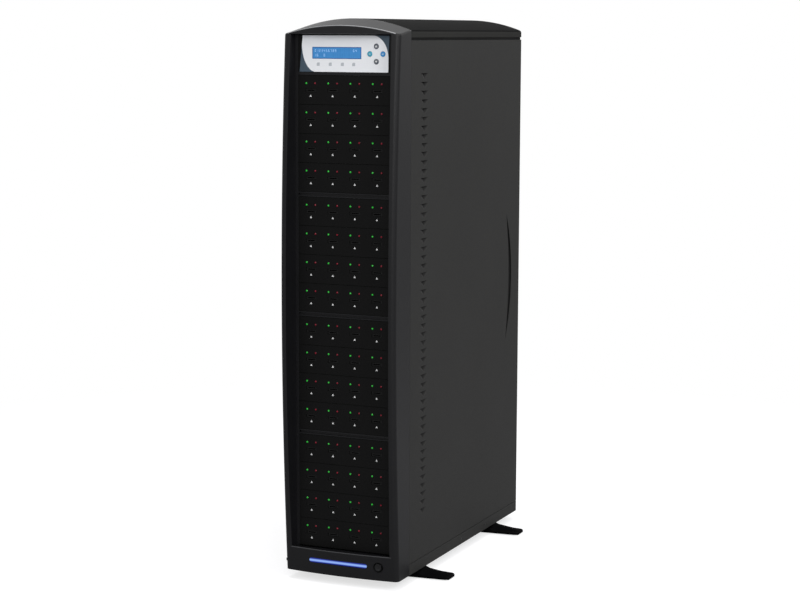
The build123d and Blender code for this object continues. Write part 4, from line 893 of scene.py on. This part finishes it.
floorMesh = bpy.data.meshes.new("studioFloor")
reach = studio["reach"]
floorMesh.from_pydata([(-reach, -reach, 0), (reach, -reach, 0), (reach, reach, 0), (-reach, reach, 0)],
                      [], [(0, 1, 2, 3)])
floor = addObject("studioFloor", floorMesh)
# paper near the object takes light and shadow; further out the camera sees it plain white
floorPaper, tree, place = startMaterial("mattBackdropPaper")
path = addNode(tree, "ShaderNodeLightPath")
far = mapRange(tree, vectorSocket(tree, "LENGTH", place), studio["nearTo"], studio["farFrom"])
paper = addNode(tree, "ShaderNodeBsdfDiffuse", {"Color": toLinear(studio["paper"])})
lift = addNode(tree, "ShaderNodeEmission", {"Color": toLinear("#FFFFFF"), "Strength": studio["lift"]})
dark = addNode(tree, "ShaderNodeEmission", {"Strength": 0.0})
lifted = mixShaders(tree, path.outputs["Is Camera Ray"], dark, lift)
near = addNode(tree, "ShaderNodeAddShader", {0: paper.outputs[0], 1: lifted.outputs[0]})
white = addNode(tree, "ShaderNodeEmission", {"Color": toLinear("#FFFFFF"), "Strength": 1.0})
seenFar = mathSocket(tree, "MULTIPLY", far, path.outputs["Is Camera Ray"])
whole = mixShaders(tree, seenFar, near, white)
addNode(tree, "ShaderNodeOutputMaterial", {"Surface": whole.outputs[0]})
floorMesh.materials.append(floorPaper)

# the world: plain white where it is seen straight, mirrored or through glass, else half as strong
world = bpy.data.worlds.new("studio")
bpy.context.scene.world = world
world.use_nodes = True
tree = world.node_tree
tree.nodes.clear()
path = addNode(tree, "ShaderNodeLightPath")
seen = mathSocket(tree, "MAXIMUM", path.outputs["Is Camera Ray"], path.outputs["Is Glossy Ray"])
seen = mathSocket(tree, "MAXIMUM", seen, path.outputs["Is Transmission Ray"])
plain = addNode(tree, "ShaderNodeBackground", {
    "Color": toLinear("#FFFFFF"), "Strength": studio["fillLight"]})
white = addNode(tree, "ShaderNodeBackground", {"Color": toLinear("#FFFFFF"), "Strength": 1.0})
both = mixShaders(tree, seen, plain, white)
addNode(tree, "ShaderNodeOutputWorld", {"Surface": both.outputs[0]})

lamps = {
    "key": {"place": (3.0, -1.4, 2.4), "size": 1.6, "power": 60},
    "fill": {"place": (1.2, -3.2, 1.9), "size": 1.8, "power": 55},
    "top": {"place": (0.0, 0.0, 3.0), "size": 2.0, "power": 40},
}
aim = Vector(studio["aim"])
for name, lamp in lamps.items():
    light = bpy.data.lights.new(name + "Lamp", "AREA")
    light.shape = "SQUARE"
    light.size = lamp["size"]
    light.energy = lamp["power"]
    lampObject = addObject(name + "Lamp", light)
    place = Vector(lamp["place"])
    turned = (place - aim).to_track_quat("Z", "Y").to_matrix().to_4x4()
    lampObject.matrix_world = Matrix.Translation(place) @ turned
bpy.context.scene.view_settings.view_transform = "Standard"
print("studio set")
